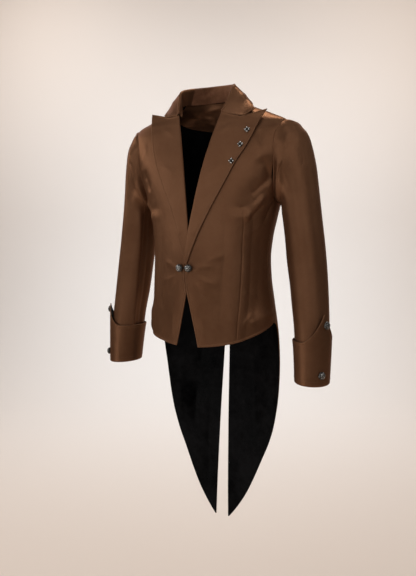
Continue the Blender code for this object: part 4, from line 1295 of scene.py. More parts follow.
@dataclass
class Backs:
    """The two backs with their tails, the lining inside them and the neck facing."""

    torso: Torso
    finishes: Finishes
    tail_rows: int = 112
    body_rows: int = 58
    columns: tuple[int, int] = (17, 20)
    seam: SeamLine = SeamLine(edge_places(
        (-0.56, 0.056), (-0.44, 0.05), (-0.35, 0.064), (-0.26, 0.095), (-0.19, 0.13),
        (-0.13, 0.175)))
    seam_span: Span = (0.25, 0.75)
    inset: float = 0.0013
    most_drawn: float = 0.2
    lining_drop: float = 0.003
    stitch_stop: float = 0.004
    vent_stitch: float = 0.02
    facing_low: float = -0.06
    facing_rise: float = 0.05
    facing_power: float = 1.2
    facing_depth: float = 0.074
    facing_turn: float = 87.0
    facing_rows: int = 20
    facing_columns: int = 121
    facing_stitch: float = 0.004
    creases: Creases = creased(
        (0.1, -0.5, 0.15, -0.528, 0.01, 0.0016, 0.05),
        (0.03, -0.42, 0.09, -0.405, 0.01, 0.0014, 0.06),
        (0.025, -0.438, 0.085, -0.456, 0.01, 0.0012, -0.05),
        (0.115, -0.27, 0.16, -0.225, 0.01, 0.0026, 0.06, 0.2),
        (0.11, -0.3, 0.15, -0.27, 0.008, -0.0014, 0.06),
        (0.13, -0.11, 0.165, -0.17, 0.014, 0.0022, 0.05),
        (0.02, -0.045, 0.07, -0.035, 0.007, 0.001, 0.08),
        (0.07, -0.62, 0.09, -0.9, 0.022, 0.004, 0.03),
        (0.125, -0.64, 0.135, -0.86, 0.02, -0.0032, 0.02),
        (0.042, -0.76, 0.04, -1.06, 0.016, 0.003, 0.02))
    neck_creases: Creases = creased(
        (-0.09, -0.03, -0.03, -0.042, 0.006, 0.0024, 0.06),
        (-0.086, -0.008, -0.034, -0.026, 0.007, 0.0028, -0.06),
        (-0.056, -0.01, -0.006, 0.002, 0.006, 0.0024, 0.05),
        (-0.02, -0.034, 0.01, -0.01, 0.006, 0.002, -0.08),
        (0.02, -0.04, 0.07, -0.026, 0.007, 0.0022, 0.06),
        (0.024, -0.004, 0.062, -0.016, 0.006, 0.002, -0.06))

    def heights(self) -> Array:
        """Heights of the rows, from the tip of the tail up to the neck."""
        tail = TAIL_TIP + Spacing(self.tail_rows, EDGE_LANES, (0.0,)).places(SIDE_HEM - TAIL_TIP)
        body = body_heights(SIDE_HEM, BACK_NECK, self.body_rows)
        return np.concatenate([tail[:-1], body[:1], body[len(EDGE_LANES):]])

    def vent(self, height: Array) -> Array:
        """The breadth of the vent's edge at a height."""
        share = np.clip((VENT_TOP - height) / (VENT_TOP - TAIL_TIP), 0.0, 1.0)
        return VENT_HALF_AT_TIP * share ** VENT_POWER

    def form(self, inset: float = 0.0, top: float = BACK_NECK) -> Array:
        """The sheet of one back, drawn in from its edges."""
        torso, height = self.torso, self.heights()
        height = height[(height >= TAIL_TIP + inset) & (height <= top)]
        inner = torso.turn_of_breadth(height, self.vent(height), back=True)
        tail = torso.turn_of_breadth(height, torso.tail_edge.at(height), back=True)
        outer = np.where(height < SIDE_HEM, tail, torso.side_turn(height, back=True))
        seam = torso.turn_of_breadth(height, self.seam.breadth(height), back=True)
        seam = np.clip(seam, *(lerp(outer, inner, share) for share in self.seam_span))
        length = torso.run(height, outer, inner)[1][:, -1]
        part = torso.run(height, outer, seam)[1][:, -1]
        draw = np.minimum(inset, length * self.most_drawn)
        near = Spacing(self.columns[0], EDGE_LANES, SEAM_LANES).places(part - draw)
        far = Spacing(self.columns[1], SEAM_LANES, EDGE_LANES).places(length - part - draw)
        place = np.concatenate([near + draw[:, None], far[:, 1:] + part[:, None]], 1)
        share = place / length[:, None]
        grid = torso.along(height[:, None], outer[:, None], inner[:, None], share)
        relief = self.seam.relief(grid, near.shape[1] - 1)
        return Folds(self.creases, self.on_back).on(grid, relief)

    def on_back(self, breadth: Array, height: Array) -> Array:
        """A place on the back at a breadth and a height."""
        return self.torso.point(height, self.torso.turn_of_breadth(height, breadth, back=True))

    def in_neck(self, breadth: Array, height: Array) -> Array:
        """A place inside the neck; a breadth below zero lies on the wearer's right."""
        place = self.on_back(np.abs(breadth), height)
        place[..., 0] *= np.sign(breadth)
        return place

    def facing(self) -> Array:
        """The sheet of the neck facing, from the wearer's left shoulder round to the right."""
        across = np.linspace(-self.facing_turn, self.facing_turn, self.facing_columns)[::-1]
        away = np.abs(across)
        low = self.facing_low + self.facing_rise * (away / 90.0) ** self.facing_power
        share = Spacing(self.facing_rows, EDGE_LANES, SEAM_LANES).shares(self.facing_depth)
        grid = self.torso.point(low + (BACK_NECK - low) * share[:, None], 180.0 - away)
        grid[..., 0] *= np.where(across < 0, -1.0, 1.0)
        return grid

    def build(self) -> None:
        """Make both backs, their linings and the facing."""
        grid, lined = self.form(), self.form(self.inset, BACK_NECK - self.lining_drop)
        lined = (lined - normals_of(lined) * LAYER)[:, ::-1]
        for side in Side:
            cloth = Cloth(f"back_cloth_{side.word}", grid, CLOTH, side,
                          free={Edge.LOW: ALL_HEIGHTS, Edge.FIRST: SIDE_HEM, Edge.LAST: VENT_TOP})
            lines = [cloth.line(Edge.FIRST, STITCH_INSET, high=SIDE_HEM - self.stitch_stop),
                     cloth.line(Edge.LAST, STITCH_INSET, high=VENT_TOP + self.vent_stitch)]
            hang(cloth, f"back_{side.word}", self.finishes, lines)
            lining = Cloth(f"lining_satin_{side.word}", lined, LINING_CLOTH, side)
            hang(lining, f"lining_{side.word}", self.finishes, slot=Slot.LINING)
        folds = Folds(self.neck_creases, self.in_neck)
        inside = folds.on(self.facing()[:, ::-1], LAYER * 2 + LINING_CLOTH)
        cloth = Cloth("neck_facing_cloth", inside, FACING_CLOTH, free={Edge.LOW: ALL_HEIGHTS})
        hang(cloth, "neck_facing", self.finishes,
             [cloth.line(Edge.LOW, self.facing_stitch)])


# Lapels and collar


class LapelCut(NamedTuple):
    """How far out and how high a lapel's peak and notch are, and how the peak clears the arm.

    clearance says how much broader than the shoulder the form is on which the peak lies.
    """

    peak: Span
    notch: Span
    clearance: float


@dataclass
class Lapels:
    """The two peaked lapels, rolled over the fronts' edges."""

    torso: Torso
    finishes: Finishes
    cuts: Pair[LapelCut] = Pair(LapelCut((0.1715, -0.0335), (0.115, -0.05), 0.046),
                                LapelCut((0.1655, -0.0225), (0.0965, -0.0365), 0.1))
    low: float = LAPEL_LOW
    seat: float = 0.0004
    stand_off: float = 0.0032
    spring_power: float = 0.7
    crease_spring: float = 0.7
    face_spring: float = 0.8
    face_step: float = 0.0048
    broad: float = 0.024
    spring_from: float = -0.13
    spring_span: float = 0.1
    draw_in: Triple = (0.018, -0.16, 0.08)
    notch_share: float = 0.6
    notch_fade: float = 5.0
    least: float = 0.003
    roll_top: float = GORGE - 0.004
    rows: int = 92
    columns: int = 26
    roll_steps: int = 7
    inset: float = 0.0052
    creases: Creases = creased(
        (0.045, -0.19, 0.09, -0.16, 0.01, 0.0011, 0.06),
        (0.03, -0.26, 0.062, -0.225, 0.01, -0.001, 0.05),
        (0.062, -0.09, 0.108, -0.062, 0.008, 0.0012, 0.05),
        (0.02, -0.335, 0.03, -0.3, 0.008, 0.001, 0.04))

    def depth(self, height: Array, breadth: Array, spring: Array, side: Side = Side.LEFT) -> Array:
        """The depth of a lapel: on the front at its roll, clear of the shoulder at its peak."""
        rise = np.clip((height - self.spring_from) / self.spring_span, 0.0, 1.0)
        wide = self.torso.front_y(height, breadth, self.cuts.of(side).clearance * rise * rise)
        off = CLOTH + self.seat + self.stand_off * np.asarray(spring) ** self.spring_power
        return np.minimum(wide, self.torso.front_y(height, breadth)) - off

    def flat(self, side: Side) -> Array:
        """The sheet from the roll out to the edge."""
        (peak_x, peak), (notch_x, notch_z), _ = self.cuts.of(side)
        edges = Curve([*(row.height for row in LAPEL_EDGE), peak],
                      [*(row.breadth for row in LAPEL_EDGE), peak_x])
        length = peak - self.low
        height = (self.low + Spacing(self.rows, SEAM_LANES, EDGE_LANES).places(length))[:, None]
        up = (height - self.low) / length
        roll_z = self.low + (self.roll_top - self.low) * up
        roll_x = self.torso.front_edge_x(roll_z, side)
        edge_x = edges.at(height)
        if side is Side.RIGHT:
            amount, start, span = self.draw_in
            edge_x = edge_x - amount * np.clip((height - start) / span, 0.0, 1.0)
        edge_x = np.maximum(edge_x, roll_x + self.least)
        share = Spacing(self.columns, ROLL_LANES, EDGE_LANES).shares((edge_x - roll_x)[:, 0])
        top_x = self.torso.front_edge_x(np.array(self.roll_top), side)
        bend_x = notch_x - lerp(top_x, peak_x, self.notch_share)
        bend_z = notch_z - lerp(self.roll_top, peak, self.notch_share)
        bend = np.minimum(share / self.notch_share, (1 - share) / (1 - self.notch_share))
        bend = bend * up ** self.notch_fade
        x = roll_x + (edge_x - roll_x) * share + bend_x * bend
        z = roll_z + (height - roll_z) * share + bend_z * bend
        spring = np.minimum(1.0, (edge_x - roll_x) / self.broad) * share
        return np.stack([x, self.depth(z, x, spring, side), z], -1)

    def grid(self, side: Side) -> Array:
        """The sheet with its roll, which starts inside the front's edge."""
        flat = Folds(self.creases, self.on_lapel).on(self.flat(side))
        root = flat[:, 0]
        inner = root + np.array([0.0, 1.0, 0.0]) * (CLOTH + self.seat)
        outward = unit(root - inner)
        along = unit(np.gradient(root, axis=0))
        beside = unit(np.cross(outward, along))
        beside = beside * np.sign((flat[:, 0] - flat[:, 2])[:, :1] * beside[:, :1] + 1e-9)
        middle = inner + outward * CLOTH / 2
        radius = CLOTH / 2 + self.seat
        turns = np.linspace(180.0, 0.0, self.roll_steps + 1)[:-1]
        roll = [middle + radius * (cosine(turn) * outward + sine(turn) * beside) for turn in turns]
        return np.concatenate([np.stack(roll, 1), flat], 1)

    def on_lapel(self, breadth: Array, height: Array) -> Array:
        """A place on the lapel's inner face at a breadth and a height."""
        return np.stack([breadth, self.depth(height, breadth, self.crease_spring), height], -1)

    def face(self, breadth: float, height: float) -> Line:
        """A place on the lapel's outer face, and the direction in which it faces."""
        step = self.face_step
        spots = [np.array([x, float(self.depth(z, x, self.face_spring)), z]) for x, z in (
            (breadth, height), (breadth + step, height), (breadth, height + step))]
        facing = unit(np.cross(spots[1] - spots[0], spots[2] - spots[0]))
        return spots[0] + facing * CLOTH, facing

    def build(self) -> None:
        """Make both lapels."""
        for side in Side:
            cloth = Cloth(f"lapel_cloth_{side.word}", self.grid(side), CLOTH, side,
                          free={Edge.LAST: ALL_HEIGHTS, Edge.HIGH: ALL_HEIGHTS},
                          inset=self.inset, faced={Edge.LAST: 1.0})
            lines = [cloth.line(Edge.LAST, self.inset)]
            hang(cloth, f"lapel_{side.word}", self.finishes, lines)


@dataclass
class Collar:
    """The collar: its leaf, folded over down to the neck seam inside, and its stand.

    dips says how far the leaf's front ends dip towards the gorge, and where they are lowest.
    """

    lapels: Lapels
    finishes: Finishes
    steps: int = 74
    leaf_steps: int = 14
    stand_steps: int = 10
    roll_steps: int = 8
    # Columns at each end of the leaf where the dull side's painted light stops, keeping the face's
    # darker colour.
    dull_inset: int = 34
    lane_round: float = 0.2
    leaf_depth: float = 0.045
    stand_depth: float = 0.04
    fold_drop: float = 0.0034
    fold_rise: float = 0.0012
    dips: Pair[Span] = Pair((0.0145, 0.34), (0.003, 0.25))
    bulge: float = 0.002
    flat_from: float = 0.85
    on_lapel: float = 0.8
    centre_y: float = 0.02
    under_fold: float = 0.0012
    least_stand: float = 0.003
    stand_cloth: float = CLOTH - 0.0002
    inset: float = 0.0052
    creases: Pair[Creases] = Pair(creased(
        (0.76, 0.35, 0.95, 0.62, 0.006, 0.0022, 0.05),
        (0.83, 0.16, 0.965, 0.4, 0.0038, -0.0018, 0.05),
        (0.6, 0.25, 0.74, 0.55, 0.006, 0.0014, 0.05),
        (0.06, 1.3, 0.42, 1.48, 0.006, 0.0017, 0.05),
        (0.05, 1.66, 0.4, 1.58, 0.005, -0.0014, 0.05),
        (0.3, 1.25, 0.56, 1.72, 0.006, 0.0014, 0.05)), creased(
        (0.74, 0.3, 0.93, 0.58, 0.006, 0.0018, 0.05),
        (0.04, 1.34, 0.38, 1.56, 0.006, 0.0018, -0.05),
        (0.18, 1.22, 0.52, 1.4, 0.0055, -0.0016, 0.05),
        (0.22, 1.72, 0.6, 1.5, 0.006, 0.0015, 0.05)))

    def line(self, part: str, around: Array, side: Side = Side.LEFT) -> Array:
        """The collar's seam, fold or edge, at shares of its way round."""
        shares = [station.round_share for station in COLLAR]
        places = [getattr(station, part) for station in COLLAR]
        if part == "edge" and side is Side.RIGHT:
            places[-1] = RIGHT_CORNER
        if part == "fold":
            places = [(x, y, z - self.fold_drop) for x, y, z in places]
        return np.stack([Curve(shares, [place[axis] for place in places]).at(around)
                         for axis in range(3)], -1)

    def outward(self, points: Array) -> Array:
        """The level direction away from the neck."""
        away = points - np.array([0.0, self.centre_y, 0.0])
        return unit(away * np.array([1.0, 1.0, 0.0]))

    def stand_top(self, around: Array) -> tuple[Array, Array]:
        """The neck seam, and the top of the stand under the fold."""
        seam = self.line("seam", around)
        high = self.line("fold", around) - np.array([0.0, 0.0, self.under_fold])
        high[..., 2] = np.maximum(high[..., 2], seam[..., 2] + self.least_stand)
        return seam, high

    def leaf_side(self, side: Side) -> Array:
        """One side of the leaf, from its outer edge over the fold to the neck seam."""
        around = 1.0 - Spacing(self.steps, EDGE_LANES, (0.0,)).shares(self.lane_round)
        around = around[::-1][:, None]
        fold, edge = self.line("fold", around), self.line("edge", around, side)
        at_front = np.clip((around - self.flat_from) / (1 - self.flat_from), 0.0, 1.0) ** 2
        share = Spacing(self.leaf_steps, EDGE_LANES, (0.0,)).shares(self.leaf_depth)[None, :]
        point = edge + (fold - edge) * share[..., None]
        off = self.bulge * np.sin(np.pi * share) + CLOTH + 2 * LAYER
        point = point + self.outward(point) * (off * (1 - at_front))[..., None]
        dip, lowest = self.dips.of(side)
        sag = np.minimum((1 - share) / (1 - lowest), 1.0) * (1 - eased(1 - share / lowest))
        point[..., 2] -= dip * at_front * sag
        flat = self.lapels.depth(point[..., 2], point[..., 0], self.on_lapel, side)
        point[..., 1] += (flat - point[..., 1]) * at_front
        top = point[:, -1]
        seam, high = self.stand_top(around[:, 0])
        out = self.outward(self.line("fold", around[:, 0]))
        inside = high - out * LAYER * 2
        middle = (top + inside) / 2
        middle[:, 2] = np.minimum(top[:, 2], inside[:, 2] + self.fold_rise)
        half = (top - inside) / 2
        radius = np.linalg.norm(half, axis=-1, keepdims=True)
        turns = np.linspace(0.0, 180.0, self.roll_steps + 1)[1:]
        rolled = [middle + half * cosine(turn) + np.array([0.0, 0.0, 1.0]) * radius * sine(turn)
                  for turn in turns]
        down = Spacing(self.stand_steps, (0.0,), SEAM_LANES).shares(self.stand_depth)[1:]
        start = rolled[-1]
        foot = seam - out * LAYER * 2
        inner = [start + (foot - start) * part for part in down]
        grid = np.concatenate([point, np.stack(rolled + inner, 1)], 1)
        return Folds(self.creases.of(side), lambda a, b: self.on_sheet(a, b, side)).on(grid)

    def on_sheet(self, around: Array, down: Array, side: Side) -> Array:
        """A place on the leaf: down is 0 at its edge, 1 at the fold and 2 at the neck seam."""
        edge, fold = self.line("edge", around, side), self.line("fold", around)
        seam, down = self.line("seam", around), down[:, None]
        return np.where(down < 1, lerp(edge, fold, down), lerp(fold, seam, down - 1))

    def round(self, left: Array, right: Array) -> Array:
        """Both sides made into rows from the wearer's left front round to the right front."""
        mirrored = right[1:] * np.array([-1.0, 1.0, 1.0])
        return np.concatenate([left[::-1], mirrored]).swapaxes(0, 1)

    def stand_side(self) -> Array:
        """One side of the stand, from the neck seam up to the fold."""
        around = np.linspace(0.0, 1.0, self.steps)
        seam, high = self.stand_top(around)
        share = np.linspace(0.0, 1.0, self.stand_steps)[None, :, None]
        return seam[:, None] + (high - seam)[:, None] * share

    def build(self) -> None:
        """Make the leaf and the stand."""
        # The leaf's inside past the fold shows the dull side, painted lighter, except at its ends.
        leaf = Cloth("collar_leaf_cloth", self.round(self.leaf_side(Side.LEFT),
                                                     self.leaf_side(Side.RIGHT)), CLOTH,
                     free={Edge.LOW: ALL_HEIGHTS, Edge.FIRST: ALL_HEIGHTS,
                           Edge.LAST: ALL_HEIGHTS}, inset=self.inset,
                     faced={Edge.LOW: 1.0}, dull_from=self.leaf_steps + self.roll_steps,
                     dull_inset=self.dull_inset)
        hang(leaf, "collar_leaf", self.finishes, [leaf.line(Edge.LOW, self.inset)])
        stand = Cloth("collar_stand_cloth", self.round(self.stand_side(), self.stand_side()),
                      self.stand_cloth, faced={Edge.LOW: 1.0})
        hang(stand, "collar_stand", self.finishes)


# Sleeves and cuffs


class Arm(NamedTuple):
    """A part of the sleeve between two turns round the arm."""

    word: str
    first: float
    last: float
    columns: int


@dataclass
class Sleeves:
    """The two sleeves, each of a top and an under half, with their heads set in the armholes.

    puckers says how many there would be all round the head, and how many swings, how wide, make
    them uneven. head_span says at which sine of the turn the head's fullness starts, and over
    how much of it it grows.
    """

    torso: Torso
    finishes: Finishes
    rings: dict[str, Curve] = field(init=False)
    rows: int = 190
    cap_rows: int = 12
    crease_reach: float = 2.6
    halves: tuple[Arm, ...] = (Arm("top", FRONT_SEAM_TURN - 360, HIND_SEAM_TURN, 58),
                               Arm("under", HIND_SEAM_TURN, FRONT_SEAM_TURN, 30))
    girth_per_degree: float = 0.00085
    edge_out: float = 0.0012
    edge_in: float = 0.0002
    hole_inset: float = 0.0004
    leave_step: float = 0.02
    enter_pull: float = 0.8
    tucks: Span = (0.5, 1.0)
    pucker: float = 0.0006
    puckers: Triple = (15.0, 4.0, 0.6)
    bulge: float = 0.0008
    head_at: float = 0.55
    head_rows: float = 6.0
    head_span: Span = (-0.25, 0.8)
    creases: Pair[Creases] = Pair(creased(
        (0.745, -54, 0.712, 6, 0.0052, -0.0024, 0.03),
        (0.726, -50, 0.698, 10, 0.006, 0.0015, 0.03),
        (0.766, -42, 0.752, 30, 0.0056, -0.002, -0.06),
        (0.792, -60, 0.797, 12, 0.0056, -0.002, 0.03),
        (0.778, -52, 0.776, 14, 0.006, 0.0014, 0.03),
        (0.822, -42, 0.805, 0, 0.005, -0.0015, 0.03),
        (0.225, 47, 0.6, 61, 0.011, 0.0016, 0.02),
        (0.25, -44, 0.7, -54, 0.012, 0.0042),
        (0.018, 50, 0.04, 66, 0.004, -0.0014, 0.03),
        (0.03, 44, 0.07, 58, 0.005, 0.0012, 0.03),
        (0.08, 20, 0.24, 40, 0.012, 0.0014, 0.05),
        (0.06, 100, 0.3, 120, 0.014, 0.0014, 0.05),
        (0.47, 200, 0.54, 280, 0.009, -0.0016, 0.05),
        (0.52, 195, 0.6, 270, 0.008, 0.0014, 0.05),
        (0.7, 60, 0.716, 130, 0.008, 0.001, 0.04)), creased(
        (0.3, -38.0, 0.99, -60.0, 0.0085, 0.0048, 0.0, 0.4),
        (0.28, -70.0, 0.99, -92.0, 0.013, -0.0045),
        (0.718, -36.0, 0.726, 20.0, 0.006, -0.002, 0.04),
        (0.77, -40.0, 0.778, 24.0, 0.005, -0.0022, 0.03),
        (0.1, 24.0, 0.26, 44.0, 0.012, 0.0014, 0.05),
        (0.08, 104.0, 0.32, 122.0, 0.014, 0.0014, 0.05),
        (0.48, 204.0, 0.55, 284.0, 0.009, -0.0016, 0.05),
        (0.53, 198.0, 0.61, 274.0, 0.008, 0.0014, 0.05),
        (0.742, -30.0, 0.752, 40.0, 0.009, 0.003, 0.04)))

    def __post_init__(self) -> None:
        """Make the curves of the sleeve's table."""
        places = list(range(len(SLEEVE)))
        self.rings = {name: Curve(places, [getattr(ring, name) for ring in SLEEVE])
                      for name in SleeveRing._fields}

    def point(self, share: Array, turn: Array, out: Array = 0.0) -> Array:
        """Points of the sleeve. The turn is 0 in front, 90 outside, 180 behind, 270 inside."""
        share, turn, out = np.broadcast_arrays(np.asarray(share, float), turn, out)
        place = share * (len(SLEEVE) - 1)
        ring = {name: curve.at(place) for name, curve in self.rings.items()}
        outer = np.stack([ring["outer_x"], ring["middle_y"], ring["outer_z"]], -1)
        inner = np.stack([ring["inner_x"], ring["middle_y"], ring["inner_z"]], -1)
        way = (outer - inner) / 2
        reach = np.linalg.norm(way, axis=-1, keepdims=True)
        across, spread = way / reach, (reach[..., 0] + out) * sine(turn)
        level = np.array([0.0, -1.0, 0.0]) * ((ring["half_depth"] + out) * cosine(turn))[..., None]
        past = np.array([0.0, 0.0, -1.0]) * (np.maximum(share - 1, 0) / SHARE_PER_METRE)[..., None]
        return (outer + inner) / 2 + across * spread[..., None] + level + past

    def hole(self, turn: Array, out: float) -> Array:
        """Points round the armhole, moved out past the body."""
        half = ARMHOLE_HALF - self.hole_inset
        height = ARMHOLE_MIDDLE + half * sine(turn)
        front = cosine(turn) > 0
        reach = np.where(front, ARMHOLE_FRONT, ARMHOLE_BACK) - self.hole_inset
        y = self.torso.at(height).side_y - reach * cosine(turn)
        return np.stack([self.torso.breadth_at(height, y) + out, y, height], -1)

    def grid(self, side: Side, arm: Arm) -> Array:
        """The sheet of one half, from the wrist up into the armhole."""
        girth = (arm.last - arm.first) * self.girth_per_degree
        turn = (arm.first + Spacing(arm.columns).places(girth) / self.girth_per_degree)[None, :]
        share = 1 - Spacing(self.rows, SEAM_LANES, (0.0,)).shares(SLEEVE_LENGTH)[:, None]
        arm_rows = self.point(share, turn)
        start, stop = self.point(0.0, turn), self.hole(turn, self.edge_out)
        span = np.linalg.norm(stop - start, axis=-1, keepdims=True)
        deep = self.hole(turn, self.edge_in)
        leave = unit(start - self.point(self.leave_step, turn)) * span
        enter = unit(deep - stop) * span * self.enter_pull
        part = np.linspace(0.0, 1.0, self.cap_rows + 1)[1:, None, None]
        cap = (start * (1 + 2 * part) * (1 - part) ** 2 + leave * part * (1 - part) ** 2
               + stop * part ** 2 * (3 - 2 * part) - enter * part ** 2 * (1 - part))
        tuck = lerp(stop, deep, np.array(self.tucks)[:, None, None])
        grid = np.concatenate([arm_rows, cap, tuck])
        folds = Folds(self.creases.of(side), self.point, reach=self.crease_reach)
        normals = normals_of(grid)
        relief = folds.relief(grid, normals)
        past = np.arange(len(grid))[:, None] - len(arm_rows)
        near = np.exp(-((past - self.cap_rows * self.head_at) / self.head_rows) ** 2)
        top = eased((sine(turn) - self.head_span[0]) / self.head_span[1])
        count, slow, swing = self.puckers
        waves = np.sin(np.radians(turn) * count + swing * np.sin(np.radians(turn) * slow))
        relief = relief + near * top * (self.pucker * waves + self.bulge)
        relief[-1 - len(self.tucks):] = 0.0
        return grid + normals * relief[..., None]

    def build(self) -> None:
        """Make both halves of both sleeves."""
        for side in Side:
            for arm in self.halves:
                cloth = Cloth(f"{arm.word}_sleeve_cloth_{side.word}", self.grid(side, arm),
                              SLEEVE_CLOTH, side, sharp=frozenset({Edge.HIGH}))
                hang(cloth, f"{arm.word}_sleeve_{side.word}", self.finishes)


class CuffPoint(NamedTuple):
    """How high a cuff's point rises over the cuff, and how far it stands off the sleeve."""

    rise: float
    off: float


@dataclass
class Cuffs:
    """The deep cuffs, turned back from inside the sleeves and pointed over the outer arm."""

    sleeves: Sleeves
    finishes: Finishes
    height: float = 0.103
    points: Pair[CuffPoint] = Pair(CuffPoint(0.066, 0.003), CuffPoint(0.058, 0.007))
    point_spread: float = 76.0
    point_power: float = 1.9
    point_turn: float = 60.0
    flare: float = 0.003
    tuck: float = 0.012
    tuck_steps: int = 4
    crease_off: float = SLEEVE_CLOTH + 0.003
    face_turn: float = 4.0
    face_rise: float = 0.05
    rows: int = 30
    columns: int = 96
    roll_steps: int = 7
    second_line: float = 0.0072
    low_line: float = 0.01
    creases: Pair[Creases] = Pair(creased(
        (0.92, 20, 0.9, 70, 0.011, 0.0009, 0.03),
        (0.97, 120, 0.93, 170, 0.011, 0.001, 0.03)), creased(
        (0.93, 10.0, 0.91, 66.0, 0.011, 0.001, 0.03),
        (0.96, 130.0, 0.93, 176.0, 0.011, 0.001, 0.03)))

    def peak(self, turn: Array) -> Array:
        """How much of the point's height a turn has."""
        away = np.abs((turn - self.point_turn + 180) % 360 - 180)
        return np.clip(1 - away / self.point_spread, 0.0, 1.0) ** self.point_power

    def place(self, side: Side, turn: Array, rise: Array) -> Array:
        """Points of the inner face of the turned-back part."""
        peak, point = self.peak(turn), self.points.of(side)
        height = (self.height + point.rise * peak) * rise
        off = self.flare + point.off * peak
        return self.sleeves.point(1 - height * SHARE_PER_METRE, turn,
                                  SLEEVE_CLOTH + 2 * LAYER + off * rise)

    def grid(self, side: Side) -> Array:
        """The sheet, from inside the sleeve's mouth round its edge and up."""
        turn = np.linspace(0.0, 360.0, self.columns, endpoint=False)[None, :]
        radius = SLEEVE_CLOTH / 2 + 2 * LAYER
        inside = np.linspace(self.tuck, 0.0, self.tuck_steps + 1)[:-1, None]
        inner = self.sleeves.point(1 - inside * SHARE_PER_METRE, turn, -2 * LAYER)
        angle = np.linspace(180.0, 0.0, self.roll_steps)[:-1, None]
        rolled = self.sleeves.point(1 + radius * sine(angle) * SHARE_PER_METRE, turn,
                                    SLEEVE_CLOTH / 2 + radius * cosine(angle))
        rise = Spacing(self.rows, (0.0,), EDGE_LANES).shares(self.height)[:, None]
        outer = self.place(side, turn, rise)
        folds = Folds(self.creases.of(side), lambda s, t: self.sleeves.point(s, t, self.crease_off),
                      reach=self.sleeves.crease_reach)
        return folds.on(np.concatenate([inner, rolled, outer]), closed=True)

    def face(self, side: Side, turn: float, height: float) -> Line:
        """A place on the cuff's outer face, and the direction in which it faces."""
        rise = height / (self.height + self.points.of(side).rise * float(self.peak(turn)))
        here, beside, below = (self.place(side, *spot) for spot in (
            (turn, rise), (turn + self.face_turn, rise), (turn, rise - self.face_rise)))
        facing = unit(np.cross(below - here, beside - here))
        facing = facing * np.sign(facing[0])
        return here + facing * SLEEVE_CLOTH, facing

    def build(self) -> None:
        """Make both cuffs."""
        for side in Side:
            cloth = Cloth(f"cuff_cloth_{side.word}", self.grid(side), SLEEVE_CLOTH, side,
                          closed=True, free={Edge.HIGH: ALL_HEIGHTS}, inset=self.second_line)
            below = self.tuck + math.pi * (SLEEVE_CLOTH / 2 + 2 * LAYER) + self.low_line
            lines = [cloth.line(Edge.HIGH, self.second_line), cloth.line(Edge.LOW, below)]
            hang(cloth, f"cuff_{side.word}", self.finishes, lines)


# Fastenings


def oriented(place: Array, facing: Array) -> Array:
    """A matrix that stands a piece on a place with its Z along a direction."""
    matrix = Vector(facing.tolist()).to_track_quat("Z", "Y").to_matrix().to_4x4()
    matrix.translation = Vector(place.tolist())
    return np.array(matrix)


def metal_piece(name: str, points: Array, faces: Faces, relief: Array, matrix: Array,
                finish: Material) -> Object:
    """A piece of metal with how high each of its points stands in its ornament."""
    piece = new_piece(name, points @ matrix[:3, :3].T + matrix[:3, 3], faces, finish)
    piece.data.attributes.new("relief", "FLOAT", "POINT").data.foreach_set(
        "value", relief.astype(np.float32))
    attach(piece, "root")
    LOG.info("%s", name)
    return piece


